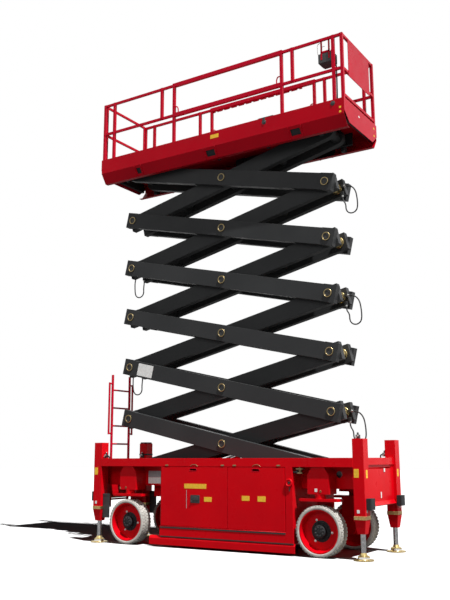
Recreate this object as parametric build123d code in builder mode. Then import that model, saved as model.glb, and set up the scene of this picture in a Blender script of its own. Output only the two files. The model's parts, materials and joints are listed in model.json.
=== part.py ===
"""Slab scissor lift: a self-propelled work platform on a six-level scissor stack.

Millimetres. X runs along the machine, +X to the panelled end, Y across it, Z up.
The origin is on the floor under the middle of the machine.
Each level is an inner frame, rising to +X, and an outer frame, rising to -X.
"""
import os
from math import cos, pi, radians, sin, tan

from build123d import *

# ---------------------------------------------------------------- driving sizes
HALF_WIDTH = 600.0

# scissor stack
LEVELS = 6
ARM_PITCH = 3370.0            # end pin to end pin
REST_ANGLE = 13.1             # arm to the floor, as it stands
STOWED_ANGLE = 4.6
RAISED_ANGLE = 62.0
STACK_X = -80.0               # middle of the stack as it stands
BASE_PIN_Z = 985.0
ARM_DEPTH = 228.0
ARM_WALL_Y = 90.0             # width of one inner beam
OUTER_WALL_Y = 95.0           # width of one outer beam
INNER_CORE = 102.0            # half of the space between the inner beams
ARM_GAP = 8.0                 # between an inner beam and its outer beam
ARM_END = 110.0               # beam beyond its end pin
CAP_LENGTH = 190.0
CAP_RISE = 4.0
SHAFT_R = 45.0
HUB_R = 72.0
RUNNING = 0.08                # radial clearance of a shaft in its bore
SEAT = 0.3                    # gap where one piece rests on another that moves
OPEN_PIVOT_GAP = 1.0          # radial clearance where the linkage is opened
PIN_HEAD = 5.0                # shaft end beyond the outer beam
CABLE_R = 9.0
CABLE_Y = 78.0                # of the cable loops, between the inner beams
CLIP_IN = 60.0
CLIP_HALF = 18.0
CLIP_DEPTH = 50.0
ROLLER_R = 60.0
ROLLER_WIDTH = 32.0
TRACK_GAP = 0.5
TRACK_PLATE = 10.0

# chassis
PIN_TO_POST = 309.0           # from the fixed pivot back to the middle of a post
POST_LENGTH = 140.0
POST_WIDTH = 145.0
POST_TOP = 1400.0
POST_BOTTOM = 300.0
POST_TAPER = 160.0
COLLAR_Z = 478.0
COLLAR_HEIGHT = 24.0
COLLAR_PROUD = 3.0
CHASSIS_TOP = 1175.0
CHASSIS_FLOOR = 800.0
SIDE_PLATE_Y = 340.0
PLATE = 10.0
BEAM_DEPTH = 110.0
END_PLATE_OUT = 30.0          # outside the middle of a post
END_PLATE_BOTTOM = 640.0
LIP_REACH = 34.0
LIP_DROP = 40.0
SLOT_Z = 1050.0
SLOT_HEIGHT = 16.0
SLOT_HALF = 370.0
PORT_FROM_WHEEL = 185.0
PORT_Z = 973.0
PORT_R = 42.0
SPINE_HALF = 200.0
SPINE_BOTTOM = 280.0
CRADLE_DEPTH = 160.0          # of the step that carries the cylinder's foot
CRADLE_BEHIND = 150.0
FLOOR_SLOT_REAR = 130.0
FLOOR_SLOT_FRONT = 140.0
TOP_BAR_HEIGHT = 86.0
TOP_BAR_IN = 60.0
TOP_BAR_OUT = 14.0

# valve blocks: end, side, how far in from the post's middle on X and Y, and height
FITTINGS = ((-1, -1, 92, 0, 1185), (-1, 1, 0, 94.5, 1190), (1, 1, 92, 30, 1190), (1, -1, 30, 20, 1400))
VALVE_HALF = 22.0
VALVE_HEIGHT = 48.0
VALVE_CAP = 22.0
HOSE_R = 9.0
HOSE_REACH = 34.0
STRIP_VALVE_Z = 1004.0
STRIP_VALVE_IN = 40.0

# wheels and steering
WHEEL_TO_POST = 545.0
TYRE_R = 305.0
TYRE_WALL = 47.0              # from the rim to the tread
TYRE_WIDTH = 190.0
RIM_R = TYRE_R - TYRE_WALL
RIM_WALL = 14.0
RIM_DISH = 92.0
HUB_DRUM_R = 76.0
HUB_DRUM_REACH = 60.0
STUB_R = 55.0
KINGPIN_R = 50.0
KINGPIN_TOP = 990.0
HOUSING_LENGTH = 290.0
HOUSING_BOTTOM = 740.0
HOUSING_TOP = 1065.0
HOUSING_SHOULDER = 95.0
HOUSING_SLOPE = 62.0
HOUSING_OUT = 570.0
STEER_PLATE_OVER = 45.0       # above the top of the tyre
STEER_PLATE_Z = 2 * TYRE_R + STEER_PLATE_OVER
STEER_PLATE = 34.0
STEER_PLATE_LENGTH = 540.0
STEER_PLATE_WIDTH = 160.0
STEER_SIDE_GAP = 12.0
LEG_LENGTH = 210.0
LEG_THICKNESS = 40.0
LEG_BOTTOM = 205.0
MOTOR_R = 105.0

# jack legs
ROD_R = 31.0
PAD_R = 118.0
PAD_EDGE = 12.0
PAD_HUB_R = 62.0
PAD_HUB_Z = 52.0
PAD_NECK_Z = 88.0
ROD_TOP = 1180.0
LEG_LIFT = 180.0              # how far a leg can be drawn up

# bumpers
BUMPER_WIDTH = 130.0
BUMPER_HEIGHT = 130.0
BUMPER_Y = 500.0
BUMPER_DEPTH = 65.0
BUMPER_Z = 640.0
BUMPER_ROUND = 14.0

# side trays and doors
TRAY_BEHIND = 590.0           # from the rear wheels' middle to the trays
TRAY_AHEAD = 335.0            # from the trays to the front wheels' middle
DOOR_MARGIN = 10.0
STRIP_WIDTH = 105.0
SPINE_INSET = 5.0
SPINE_SHORT = 30.0
DOOR_SEAM = 200.0
DOOR_BOTTOM = 285.0
DOOR_TOP = 1058.0
DOOR_THICKNESS = 25.0
DOOR_GAP = 6.0
SILL_BOTTOM = 150.0
HINGE_PIN_R = 6.0
HINGE_PIN_REACH = 45.0
HAND_HOLE_LENGTH = 110.0
HAND_HOLE_HEIGHT = 26.0
HAND_HOLE_DROP = 34.0
LATCH_WIDTH = 108.0
LATCH_HEIGHT = 92.0
LATCH_DEPTH = 9.0
LATCH_X = -309.0
LATCH_Z = 643.0
GUARD_BEHIND = 175.0
GUARD_AHEAD = 15.0
GUARD_BOTTOM = 32.0
GUARD_FLARE = 22.0

# ladder
LADDER_STANDOFF = 25.0        # from the posts' outer faces to the ladder's rails
LADDER_HALF = 202.0
LADDER_TUBE_R = 19.0
LADDER_TOP = 2430.0
LADDER_BOTTOM = 470.0
RUNG_TOP = 2200.0
RUNG_PITCH = 270.0
RUNG_COUNT = 7
RUNG_R = 13.0
GRAB_OUT = 70.0
GRAB_R = 15.0
GRAB_BOTTOM = 1530.0
GRAB_TOP = 2310.0

# lift cylinder
BARREL_FROM_PIN = (571.0, -185.0)     # from the fixed pivot of the stack
EYE_FROM_PIN = (1841.0, 267.0)
BARREL_R = 64.0
BARREL_LENGTH = 930.0
CYL_ROD_R = 40.0
EYE_R = 62.0
EYE_WIDTH = 100.0
EYE_PIN_R = 32.0
EYE_SIDE_GAP = 1.0
LUG_PLATE = 22.0

# platform
PLATFORM_HALF_W = 556.0
PLATFORM_SHORT = 170.0        # how far its front end lies inside the front bumpers
DECK_OVER_PIN = 130.0
FASCIA_RISE = 102.0           # above the deck
FASCIA_HEIGHT = 225.0
BEVEL_IN = 100.0
BEVEL_DROP = 145.0
SHEET = 5.0
DECK_PLATE = 8.0
END_SHEET = 5.0
END_DROP = 75.0               # of the end plates below the fascia
BEARER_PITCH = 820.0
BEARER_WIDTH = 40.0
BRACKET_HALF_X = 95.0
BRACKET_DROP = 70.0
TRACK_WEB = 6.0
FLANGE = 60.0
RIB_PAIRS = ((-1510, -1385), (-225, -30), (1155, 1350))
RIB_MARGIN = 25.0

# guard rails
RAIL_HEIGHT = 1052.0          # above the deck
RAIL_Y = 516.0
POST_TUBE = 40.0
RAIL_TUBE_W = 44.0
RAIL_TUBE_H = 58.0
SLIDE_TUBE_W = 28.0
SLIDE_TUBE_H = 38.0
RAIL_WALL = 4.0
MID_RAIL_DROP = 510.0         # below the top of the rails
CENTRE_POST_REAR = 1385.0     # from the platform's ends
CENTRE_POST_FRONT = 935.0
HALF_POST_REAR = 230.0        # from the centre posts
HALF_POST_FRONT = 170.0
EXT_POST_REAR = 215.0         # from the platform's ends
EXT_POST_FRONT = 150.0
SLIDE_OVERLAP = 880.0
NOTCHED_DEPTH = 28.0
NOTCHES = 12
NOTCH_PITCH = 135.0
NOTCH_HALF = 18.0

# extension decks
EXT_PLATE = 7.0
EXT_GAP = 0.5
EXT_LENGTH = 1400.0
EXT_HALF_W = 540.0
KICK = 84.0

# gate, panel and control box
GATE_GAP = 14.0
GATE_TUBE = 32.0
GATE_LIFT = 60.0
GATE_RAIL_W = 26.0
GATE_RAIL_H = 36.0
GATE_PIN_R = 8.0
PANEL_DROP = 570.0
PANEL_HALF = 360.0
PANEL_SHEET = 6.0
BOX_INSET = 275.0             # from the platform's front end
BOX_SIZE = (210.0, 150.0, 190.0)
BOX_DROP = 310.0              # below the top of the rails
BOX_CHAMFER = 55.0
BRACKET_HALF = 70.0

# ---------------------------------------------------------------- worked-out sizes
LEVEL_HEIGHT = ARM_PITCH * sin(radians(REST_ANGLE))
SPREAD = ARM_PITCH * cos(radians(REST_ANGLE))
PIN_LEFT = STACK_X - SPREAD / 2
PIN_RIGHT = STACK_X + SPREAD / 2
TOP_PIN_Z = BASE_PIN_Z + LEVELS * LEVEL_HEIGHT
INNER_OUT = INNER_CORE + ARM_WALL_Y
OUTER_IN = INNER_OUT + ARM_GAP
OUTER_OUT = OUTER_IN + OUTER_WALL_Y
ROLLER_IN = OUTER_OUT + PIN_HEAD
ROLLER_OUT = ROLLER_IN + ROLLER_WIDTH
POST_X = PIN_TO_POST - PIN_LEFT
HALF_LENGTH = POST_X + POST_LENGTH / 2 + BUMPER_DEPTH
WHEEL_X = POST_X - WHEEL_TO_POST
END_PLATE_X = POST_X + END_PLATE_OUT
PORT_X = WHEEL_X + PORT_FROM_WHEEL
TRAY_REAR = TRAY_BEHIND - WHEEL_X
TRAY_FRONT = WHEEL_X - TRAY_AHEAD
DOOR_REAR = TRAY_REAR + DOOR_MARGIN
DOOR_FRONT = TRAY_FRONT - STRIP_WIDTH
GUARD_REAR = TRAY_REAR - GUARD_BEHIND
GUARD_FRONT = TRAY_FRONT + GUARD_AHEAD
SPINE_REAR = TRAY_REAR + SPINE_INSET
SPINE_FRONT = TRAY_FRONT - SPINE_SHORT
BARREL_PIVOT = (PIN_LEFT + BARREL_FROM_PIN[0], BASE_PIN_Z + BARREL_FROM_PIN[1])
ROD_EYE = (PIN_LEFT + EYE_FROM_PIN[0], BASE_PIN_Z + EYE_FROM_PIN[1])
DECK_TOP = TOP_PIN_Z + DECK_OVER_PIN
FASCIA_TOP = DECK_TOP + FASCIA_RISE
FASCIA_BOTTOM = FASCIA_TOP - FASCIA_HEIGHT
END_BOTTOM = FASCIA_BOTTOM - END_DROP
RAIL_TOP = DECK_TOP + RAIL_HEIGHT
MID_RAIL_Z = RAIL_TOP - MID_RAIL_DROP
STOWED_X = PIN_LEFT + ARM_PITCH * cos(radians(STOWED_ANGLE))
RAISED_X = PIN_LEFT + ARM_PITCH * cos(radians(RAISED_ANGLE))
TRACK_START = RAISED_X - ROLLER_R - 20
TRACK_END = STOWED_X + ROLLER_R + 20
ARM_R = ARM_DEPTH / 2
WHEEL_Y = HALF_WIDTH - TYRE_WIDTH / 2
POST_OUT_X = POST_X + POST_LENGTH / 2
POST_IN_X = POST_X - POST_LENGTH / 2
POST_Y = HALF_WIDTH - COLLAR_PROUD - POST_WIDTH / 2
POST_IN_Y = POST_Y - POST_WIDTH / 2
POST_OUT_Y = POST_Y + POST_WIDTH / 2
PLATFORM_REAR = -HALF_LENGTH
PLATFORM_FRONT = HALF_LENGTH - PLATFORM_SHORT
LADDER_X = -POST_OUT_X - LADDER_STANDOFF
CENTRE_POSTS = (PLATFORM_REAR + CENTRE_POST_REAR, PLATFORM_FRONT - CENTRE_POST_FRONT)
PANEL_BOTTOM = RAIL_TOP - PANEL_DROP
BOX_X = PLATFORM_FRONT - BOX_INSET
BOX_Z = RAIL_TOP - BOX_DROP
RAIL_Z = RAIL_TOP - RAIL_TUBE_H / 2
EXT_TOP = DECK_TOP + EXT_GAP + EXT_PLATE
BEAM_BOTTOM = CHASSIS_TOP - BEAM_DEPTH
DOOR_MIDDLE_Y = HALF_WIDTH - DOOR_THICKNESS / 2
DOOR_HINGES = (DOOR_REAR + DOOR_THICKNESS / 2, DOOR_FRONT - DOOR_THICKNESS / 2)
GATE_X = PLATFORM_REAR + END_SHEET + POST_TUBE / 2
GATE_HINGE_Y = RAIL_Y - POST_TUBE / 2 - GATE_GAP - GATE_TUBE / 2
GATE_BOTTOM = EXT_TOP + GATE_LIFT

os.makedirs("parts", exist_ok=True)


# ---------------------------------------------------------------- helpers
def save(builder, name):
    """Label a finished piece and write it as its own STEP."""
    builder.part.label = name
    export_step(builder.part, f"parts/{name}.step")


def block(x, y, z, mode=Mode.ADD):
    """A box between two limits on each axis, in the active part."""
    with Locations(((x[0] + x[1]) / 2, (y[0] + y[1]) / 2, (z[0] + z[1]) / 2)):
        Box(x[1] - x[0], y[1] - y[0], z[1] - z[0], mode=mode)


def span(side, inner, outer):
    """Limits on Y of a thing between two distances from the middle, on one side."""
    return (inner, outer) if side > 0 else (-outer, -inner)


def side_plane(y):
    """An upright plane along the machine at y; extruding from it goes to -Y."""
    return Plane.XZ.offset(-y)


def rod_y(x, z, radius, y, mode=Mode.ADD):
    """A round bar across the machine between two limits on Y."""
    with BuildSketch(side_plane(y[1])) as disc:
        with Locations((x, z)):
            Circle(radius)
    extrude(disc.sketch, amount=y[1] - y[0], mode=mode)


def tube_between(start, end, radius):
    """A straight round bar between two points, in the active part."""
    plane = Plane(origin=start, z_dir=Vector(*end) - Vector(*start))
    with BuildSketch(plane) as disc:
        Circle(radius)
    extrude(disc.sketch, amount=(Vector(*end) - Vector(*start)).length)


def upright_pin(x, y, z, radius=HINGE_PIN_R, mode=Mode.ADD):
    """An upright round pin, or its bore, between two heights."""
    with BuildSketch(Plane.XY.offset(z[0])) as disc:
        with Locations((x, y)):
            Circle(radius)
    extrude(disc.sketch, amount=z[1] - z[0], mode=mode)


# ---------------------------------------------------------------- scissor stack
def arm_plane(level, rise, y):
    """Plane of an arm at y, origin at its centre pin, X along the arm towards +X."""
    centre_z = BASE_PIN_Z + (level - 0.5) * LEVEL_HEIGHT
    angle = radians(REST_ANGLE)
    return Plane(origin=(STACK_X, y, centre_z),
                 x_dir=(cos(angle), 0, rise * sin(angle)), z_dir=(0, -1, 0))


def arm_beam(level, rise, y, round_rear, round_front):
    """One box beam with its end caps; a rounded end swings inside chassis or platform."""
    half = ARM_PITCH / 2
    with BuildSketch(arm_plane(level, rise, y[1])) as profile:
        Rectangle(2 * half, ARM_DEPTH)
        for end, is_round in ((-1, round_rear), (1, round_front)):
            with Locations((end * half, 0)):
                if is_round:
                    Circle(ARM_R)
                else:
                    Rectangle(2 * ARM_END, ARM_DEPTH)
                    with Locations((end * (ARM_END - CAP_LENGTH / 2), 0)):
                        Rectangle(CAP_LENGTH, ARM_DEPTH + 2 * CAP_RISE)
    extrude(profile.sketch, amount=y[1] - y[0])


def arm_shaft(level, rise, place, radius, reach, mode=Mode.ADD):
    """A round shaft, or its bore, across the stack at a place along the arm."""
    with BuildSketch(arm_plane(level, rise, reach)) as disc:
        with Locations((place, 0)):
            Circle(radius)
    extrude(disc.sketch, amount=2 * reach, mode=mode)


# cable loops: inner arm and its end, then each route from its pin as (x, z)
CABLE_LOOPS = ((1, 1), (3, -1), (3, 1), (5, -1), (5, 1))
LOOP_AT_RIGHT = ((115, 20), (195, 20), (280, -55), (305, -200), (305, -330), (255, -380),
                 (185, -380), (135, -330), (135, -235), (90, -175), (90, -110))
LOOP_AT_LEFT = ((-115, -20), (-165, -20), (-210, -50), (-235, -120), (-235, -220), (-225, -330),
                (-175, -380), (-105, -380), (-55, -330), (-60, -240), (-50, -175), (-50, -115))


def loop_pin(level, end):
    """Where the end pin of an inner arm is, on X and Z."""
    if end > 0:
        return PIN_RIGHT, BASE_PIN_Z + level * LEVEL_HEIGHT
    return PIN_LEFT, BASE_PIN_Z + (level - 1) * LEVEL_HEIGHT


for level in range(1, LEVELS + 1):
    half = ARM_PITCH / 2
    with BuildPart() as inner:
        for side in (-1, 1):
            arm_beam(level, 1, span(side, INNER_CORE, INNER_OUT), level == 1, level == LEVELS)
        for place in (-half, 0, half):
            arm_shaft(level, 1, place, HUB_R, INNER_CORE)
        for place in (-ARM_PITCH / 4, ARM_PITCH / 4):
            arm_shaft(level, 1, place, HUB_R * 0.75, INNER_CORE)
        if level == LEVELS:
            arm_shaft(level, 1, half, SHAFT_R, ROLLER_IN)
            for side in (-1, 1):
                roller = span(side, ROLLER_IN, ROLLER_OUT)
                rod_y(PIN_RIGHT, TOP_PIN_Z, ROLLER_R, roller)
        else:
            arm_shaft(level, 1, half, SHAFT_R + OPEN_PIVOT_GAP, INNER_OUT, Mode.SUBTRACT)
        # clips that hold the ends of a hanging cable loop
        for loop_level, end in CABLE_LOOPS:
            if loop_level == level:
                pin_x, pin_z = loop_pin(level, end)
                route = LOOP_AT_RIGHT if end > 0 else LOOP_AT_LEFT
                (out_x, out_z), (under_x, under_z) = route[0], route[-1]
                clip_y = (CLIP_IN, INNER_CORE)
                out = sorted((pin_x + out_x, pin_x + out_x - end * CLIP_DEPTH))
                block(out, clip_y, (pin_z + out_z - CLIP_HALF, pin_z + out_z + CLIP_HALF))
                block((pin_x + under_x - CLIP_HALF, pin_x + under_x + CLIP_HALF), clip_y,
                      (pin_z + under_z, pin_z + under_z + CLIP_DEPTH))
        for place in (-half, 0):
            arm_shaft(level, 1, place, SHAFT_R + RUNNING, INNER_OUT, Mode.SUBTRACT)
        if level == 1:
            lug_in = EYE_WIDTH / 2 + EYE_SIDE_GAP
            angle = radians(REST_ANGLE)
            centre_z = BASE_PIN_Z + LEVEL_HEIGHT / 2
            dx, dz = ROD_EYE[0] - STACK_X, ROD_EYE[1] - centre_z
            eye = (dx * cos(angle) + dz * sin(angle), dz * cos(angle) - dx * sin(angle))
            lug_root = (eye[0] + EYE_R, eye[0] + 500)
            for side in (-1, 1):
                lug = span(side, lug_in, lug_in + LUG_PLATE)
                with BuildSketch(arm_plane(1, 1, lug[1])):
                    with BuildLine():
                        Polyline((lug_root[0], 0), (lug_root[1], 0), (lug_root[1], -ARM_R - 12),
                                 (eye[0], eye[1] - EYE_R), (eye[0] - EYE_R, eye[1]), close=True)
                    make_face()
                    with Locations(eye):
                        Circle(EYE_R)
                    with Locations((0, 0)):
                        Circle(HUB_R, mode=Mode.SUBTRACT)
                extrude(amount=lug[1] - lug[0])
                with BuildSketch(arm_plane(1, 1, span(side, lug_in, INNER_CORE)[1])):
                    with Locations((lug_root[1] - 60, 0)):
                        Rectangle(120, ARM_DEPTH - 40)
                extrude(amount=INNER_CORE - lug_in)
            for side in (-1, 1):
                head = span(side, lug_in + LUG_PLATE, lug_in + LUG_PLATE + PIN_HEAD)
                rod_y(*ROD_EYE, EYE_PIN_R, head)
    save(inner, f"scissor_inner_{level}")

    with BuildPart() as outer:
        for side in (-1, 1):
            arm_beam(level, -1, span(side, OUTER_IN, OUTER_OUT), level == LEVELS, level == 1)
        for place in (-half, 0, half):
            arm_shaft(level, -1, place, SHAFT_R, ROLLER_IN)
        if level == 1:
            for side in (-1, 1):
                rod_y(PIN_RIGHT, BASE_PIN_Z, ROLLER_R, span(side, ROLLER_IN, ROLLER_OUT))
        if level == LEVELS:
            arm_shaft(level, -1, -half, SHAFT_R, ROLLER_OUT)
    save(outer, f"scissor_outer_{level}")

for index, (level, end) in enumerate(CABLE_LOOPS, start=1):
    pin_x, pin_z = loop_pin(level, end)
    route = LOOP_AT_RIGHT if end > 0 else LOOP_AT_LEFT
    points = [Vector(pin_x + x, CABLE_Y, pin_z + z) for x, z in route]
    runs = [after - before for before, after in zip(points, points[1:])]
    radii = []
    for before, after in zip(runs, runs[1:]):
        half_turn = radians(before.get_angle(after)) / 2
        radii.append(0.45 * min(before.length, after.length) / tan(half_turn))
    with BuildPart() as cable:
        with BuildLine() as centre_line:
            FilletPolyline(*points, radius=radii)
        with BuildSketch(Plane(origin=points[0], z_dir=runs[0])) as disc:
            Circle(CABLE_R)
        sweep(disc.sketch, path=centre_line.line)
    length = centre_line.wires()[0].length
    filled = cable.part.volume / (pi * CABLE_R ** 2 * length)
    print(f"cable_loop_{index}: smallest radius {min(radii):.0f}, length {length:.0f}, filled {filled:.3f}")
    save(cable, f"cable_loop_{index}")

# ---------------------------------------------------------------- chassis
housing_bore_top = KINGPIN_TOP + 5
with BuildPart() as chassis:
    for side in (-1, 1):
        # upright plate beside the stack
        block((-POST_IN_X, POST_IN_X), span(side, SIDE_PLATE_Y, SIDE_PLATE_Y + PLATE),
              (CHASSIS_FLOOR, CHASSIS_TOP))
        # ledge that carries the rollers
        ledge_top = BASE_PIN_Z - ROLLER_R - TRACK_GAP
        block((TRACK_START, TRACK_END), span(side, ROLLER_IN, SIDE_PLATE_Y),
              (ledge_top - TRACK_PLATE, ledge_top))
        # housings of the steering pins, and the round port beside each
        for end in (-1, 1):
            housing = span(side, SIDE_PLATE_Y + PLATE, HOUSING_OUT)
            middle = end * WHEEL_X
            half = HOUSING_LENGTH / 2
            with BuildSketch(side_plane(housing[1])):
                with BuildLine():
                    Polyline((middle - half, HOUSING_BOTTOM), (middle + half, HOUSING_BOTTOM),
                             (middle + half, HOUSING_TOP - HOUSING_SHOULDER),
                             (middle + half - HOUSING_SLOPE, HOUSING_TOP),
                             (middle - half + HOUSING_SLOPE, HOUSING_TOP),
                             (middle - half, HOUSING_TOP - HOUSING_SHOULDER), close=True)
                make_face()
            extrude(amount=housing[1] - housing[0])
            upright_pin(middle, side * WHEEL_Y, (HOUSING_BOTTOM, housing_bore_top),
                        KINGPIN_R + RUNNING, Mode.SUBTRACT)
            rod_y(PORT_X * end, PORT_Z, PORT_R,
                  span(side, SIDE_PLATE_Y, SIDE_PLATE_Y + PLATE), Mode.SUBTRACT)
    # floor, open over the cylinder
    block((-POST_IN_X, POST_IN_X), (-SIDE_PLATE_Y, SIDE_PLATE_Y),
          (CHASSIS_FLOOR, CHASSIS_FLOOR + PLATE))
    block((BARREL_PIVOT[0] - FLOOR_SLOT_REAR, ROD_EYE[0] + FLOOR_SLOT_FRONT), (-INNER_CORE, INNER_CORE),
          (CHASSIS_FLOOR, CHASSIS_FLOOR + PLATE), Mode.SUBTRACT)
    # fixed pivot shaft of the stack
    rod_y(PIN_LEFT, BASE_PIN_Z, SHAFT_R, (-SIDE_PLATE_Y, SIDE_PLATE_Y))
save(chassis, "chassis_frame")

with BuildPart() as beams:
    for side in (-1, 1):
        # flanged beam along the top of each side
        block((-POST_IN_X, POST_IN_X), span(side, SIDE_PLATE_Y + PLATE, HALF_WIDTH),
              (CHASSIS_TOP - PLATE, CHASSIS_TOP))
        block((-POST_IN_X, POST_IN_X), span(side, HALF_WIDTH - PLATE, HALF_WIDTH),
              (BEAM_BOTTOM, CHASSIS_TOP))
        # eyes for the doors' upper pins
        for x in DOOR_HINGES:
            eye = span(side, HALF_WIDTH - DOOR_THICKNESS, HALF_WIDTH - PLATE)
            block((x - DOOR_THICKNESS, x + DOOR_THICKNESS), eye, (BEAM_BOTTOM, BEAM_BOTTOM + PLATE))
            upright_pin(x, side * DOOR_MIDDLE_Y, (BEAM_BOTTOM, BEAM_BOTTOM + PLATE),
                        HINGE_PIN_R + RUNNING, Mode.SUBTRACT)
save(beams, "side_beams")

with BuildPart() as spine:
    step_z = CHASSIS_FLOOR - CRADLE_DEPTH
    cradle_rear = BARREL_PIVOT[0] - CRADLE_BEHIND
    for side in (-1, 1):
        wall = span(side, SPINE_HALF - PLATE, SPINE_HALF)
        block((SPINE_REAR, SPINE_FRONT), wall, (SPINE_BOTTOM, CHASSIS_FLOOR))
        block((cradle_rear, SPINE_REAR), wall, (step_z, CHASSIS_FLOOR))
    block((SPINE_REAR, SPINE_FRONT), (-SPINE_HALF, SPINE_HALF), (SPINE_BOTTOM, SPINE_BOTTOM + PLATE))
    block((cradle_rear, SPINE_REAR + PLATE), (-SPINE_HALF, SPINE_HALF), (step_z, step_z + PLATE))
    block((SPINE_REAR, SPINE_REAR + PLATE), (-SPINE_HALF, SPINE_HALF), (SPINE_BOTTOM, step_z))
    block((SPINE_FRONT - PLATE, SPINE_FRONT), (-SPINE_HALF, SPINE_HALF), (SPINE_BOTTOM, CHASSIS_FLOOR))
    block((cradle_rear, cradle_rear + PLATE), (-SPINE_HALF, SPINE_HALF), (step_z, CHASSIS_FLOOR))
    # pivot lugs and pin of the cylinder
    lug_in = EYE_WIDTH / 2 + EYE_SIDE_GAP
    for side in (-1, 1):
        lug = span(side, lug_in, lug_in + LUG_PLATE)
        block((BARREL_PIVOT[0] - EYE_R, BARREL_PIVOT[0] + EYE_R), lug, (step_z, BARREL_PIVOT[1]))
        rod_y(*BARREL_PIVOT, EYE_R, lug)
    rod_y(*BARREL_PIVOT, EYE_PIN_R, (-lug_in, lug_in))
save(spine, "spine")

with BuildPart() as end_plates:
    for end in (-1, 1):
        x_in, x_out = END_PLATE_X - PLATE, END_PLATE_X

        def outward(a, b):
            return (a, b) if end > 0 else (-b, -a)

        # plate between the posts, with its slot, top bar and lower lip
        block(outward(x_in, x_out), (-POST_IN_Y, POST_IN_Y), (END_PLATE_BOTTOM, CHASSIS_TOP))
        block(outward(x_in, x_out), (-SLOT_HALF, SLOT_HALF),
              (SLOT_Z - SLOT_HEIGHT / 2, SLOT_Z + SLOT_HEIGHT / 2), Mode.SUBTRACT)
        block(outward(x_in - TOP_BAR_IN, x_out + TOP_BAR_OUT), (-POST_IN_Y, POST_IN_Y),
              (CHASSIS_TOP - TOP_BAR_HEIGHT, CHASSIS_TOP))
        with BuildSketch(side_plane(POST_IN_Y)):
            with BuildLine():
                Polyline((end * x_in, END_PLATE_BOTTOM + PLATE), (end * x_in, END_PLATE_BOTTOM),
                         (end * (x_out + LIP_REACH - 6), END_PLATE_BOTTOM - LIP_DROP),
                         (end * (x_out + LIP_REACH), END_PLATE_BOTTOM - LIP_DROP + PLATE),
                         (end * x_out, END_PLATE_BOTTOM + PLATE), close=True)
            make_face()
        extrude(amount=2 * POST_IN_Y)
        # web that joins each side plate to the end plate
        for side in (-1, 1):
            block(outward(POST_IN_X, x_in), span(side, SIDE_PLATE_Y, SIDE_PLATE_Y + PLATE),
                  (CHASSIS_FLOOR, CHASSIS_TOP))
save(end_plates, "end_plates")

with BuildPart() as posts:
    for end in (-1, 1):
        for side in (-1, 1):
            centre = (end * POST_X, side * POST_Y)
            with BuildSketch(Plane.XY.offset(POST_BOTTOM + POST_TAPER)):
                with Locations(centre):
                    Rectangle(POST_LENGTH, POST_WIDTH)
            extrude(amount=POST_TOP - POST_BOTTOM - POST_TAPER)
            with BuildSketch(Plane.XY.offset(POST_BOTTOM)):
                with Locations(centre):
                    Rectangle(POST_LENGTH * 0.66, POST_WIDTH * 0.66)
            with BuildSketch(Plane.XY.offset(POST_BOTTOM + POST_TAPER)):
                with Locations(centre):
                    Rectangle(POST_LENGTH, POST_WIDTH)
            loft()
            with BuildSketch(Plane.XY.offset(COLLAR_Z)):
                with Locations(centre):
                    Rectangle(POST_LENGTH, POST_WIDTH + 2 * COLLAR_PROUD)
            extrude(amount=COLLAR_HEIGHT)
            with BuildSketch(Plane.XY.offset(POST_BOTTOM)):
                with Locations(centre):
                    Circle(ROD_R + RUNNING)
            extrude(amount=ROD_TOP + LEG_LIFT + PLATE - POST_BOTTOM, mode=Mode.SUBTRACT)
save(posts, "jack_posts")

# valve blocks on the jack posts, each with its cap and a hose into the deck of the beam
with BuildPart() as fittings:
    for end, side, in_x, in_y, z in FITTINGS:
        x = end * (POST_X - in_x)
        y = side * (POST_Y - in_y)
        block((x - VALVE_HALF, x + VALVE_HALF), (y - VALVE_HALF, y + VALVE_HALF),
              (z, z + VALVE_HEIGHT))
        tube_between((x, y, z + VALVE_HEIGHT), (x, y, z + VALVE_HEIGHT + VALVE_CAP), VALVE_HALF * 0.55)
    # hoses of the near fittings, bent down on to the beams
    for end, side, in_x, in_y, z in FITTINGS:
        if in_x > POST_LENGTH / 2 and z < POST_TOP:
            x = end * (POST_X - in_x - VALVE_HALF)
            y = side * (POST_Y - in_y)
            level_z = z + VALVE_HEIGHT / 2
            with BuildLine() as bend:
                FilletPolyline((x, y, level_z), (x - end * HOSE_REACH, y, level_z),
                               (x - end * HOSE_REACH, y, CHASSIS_TOP), radius=HOSE_REACH * 0.6)
            with BuildSketch(Plane(origin=(x, y, level_z), z_dir=(-end, 0, 0))) as disc:
                Circle(HOSE_R)
            sweep(disc.sketch, path=bend.line)
    # valve on the upright strip of each cabinet
    for side in (-1, 1):
        y = side * (HALF_WIDTH - STRIP_VALVE_IN)
        tube_between((TRAY_FRONT, y, STRIP_VALVE_Z), (TRAY_FRONT + 40, y, STRIP_VALVE_Z), 14)
        tube_between((TRAY_FRONT + 40, y, STRIP_VALVE_Z), (TRAY_FRONT + 62, y, STRIP_VALVE_Z), 22)
save(fittings, "hydraulic_fittings")

with BuildPart() as bumpers:
    for end in (-1, 1):
        for side in (-1, 1):
            x = (POST_OUT_X, HALF_LENGTH) if end > 0 else (-HALF_LENGTH, -POST_OUT_X)
            block(x, span(side, BUMPER_Y - BUMPER_WIDTH / 2, BUMPER_Y + BUMPER_WIDTH / 2),
                  (BUMPER_Z - BUMPER_HEIGHT / 2, BUMPER_Z + BUMPER_HEIGHT / 2))
    tips = bumpers.edges().filter_by(Axis.Z)
    fillet(tips.filter_by(lambda e: abs(e.center().X) > HALF_LENGTH - 1), radius=BUMPER_ROUND)
save(bumpers, "bumpers")

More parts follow.
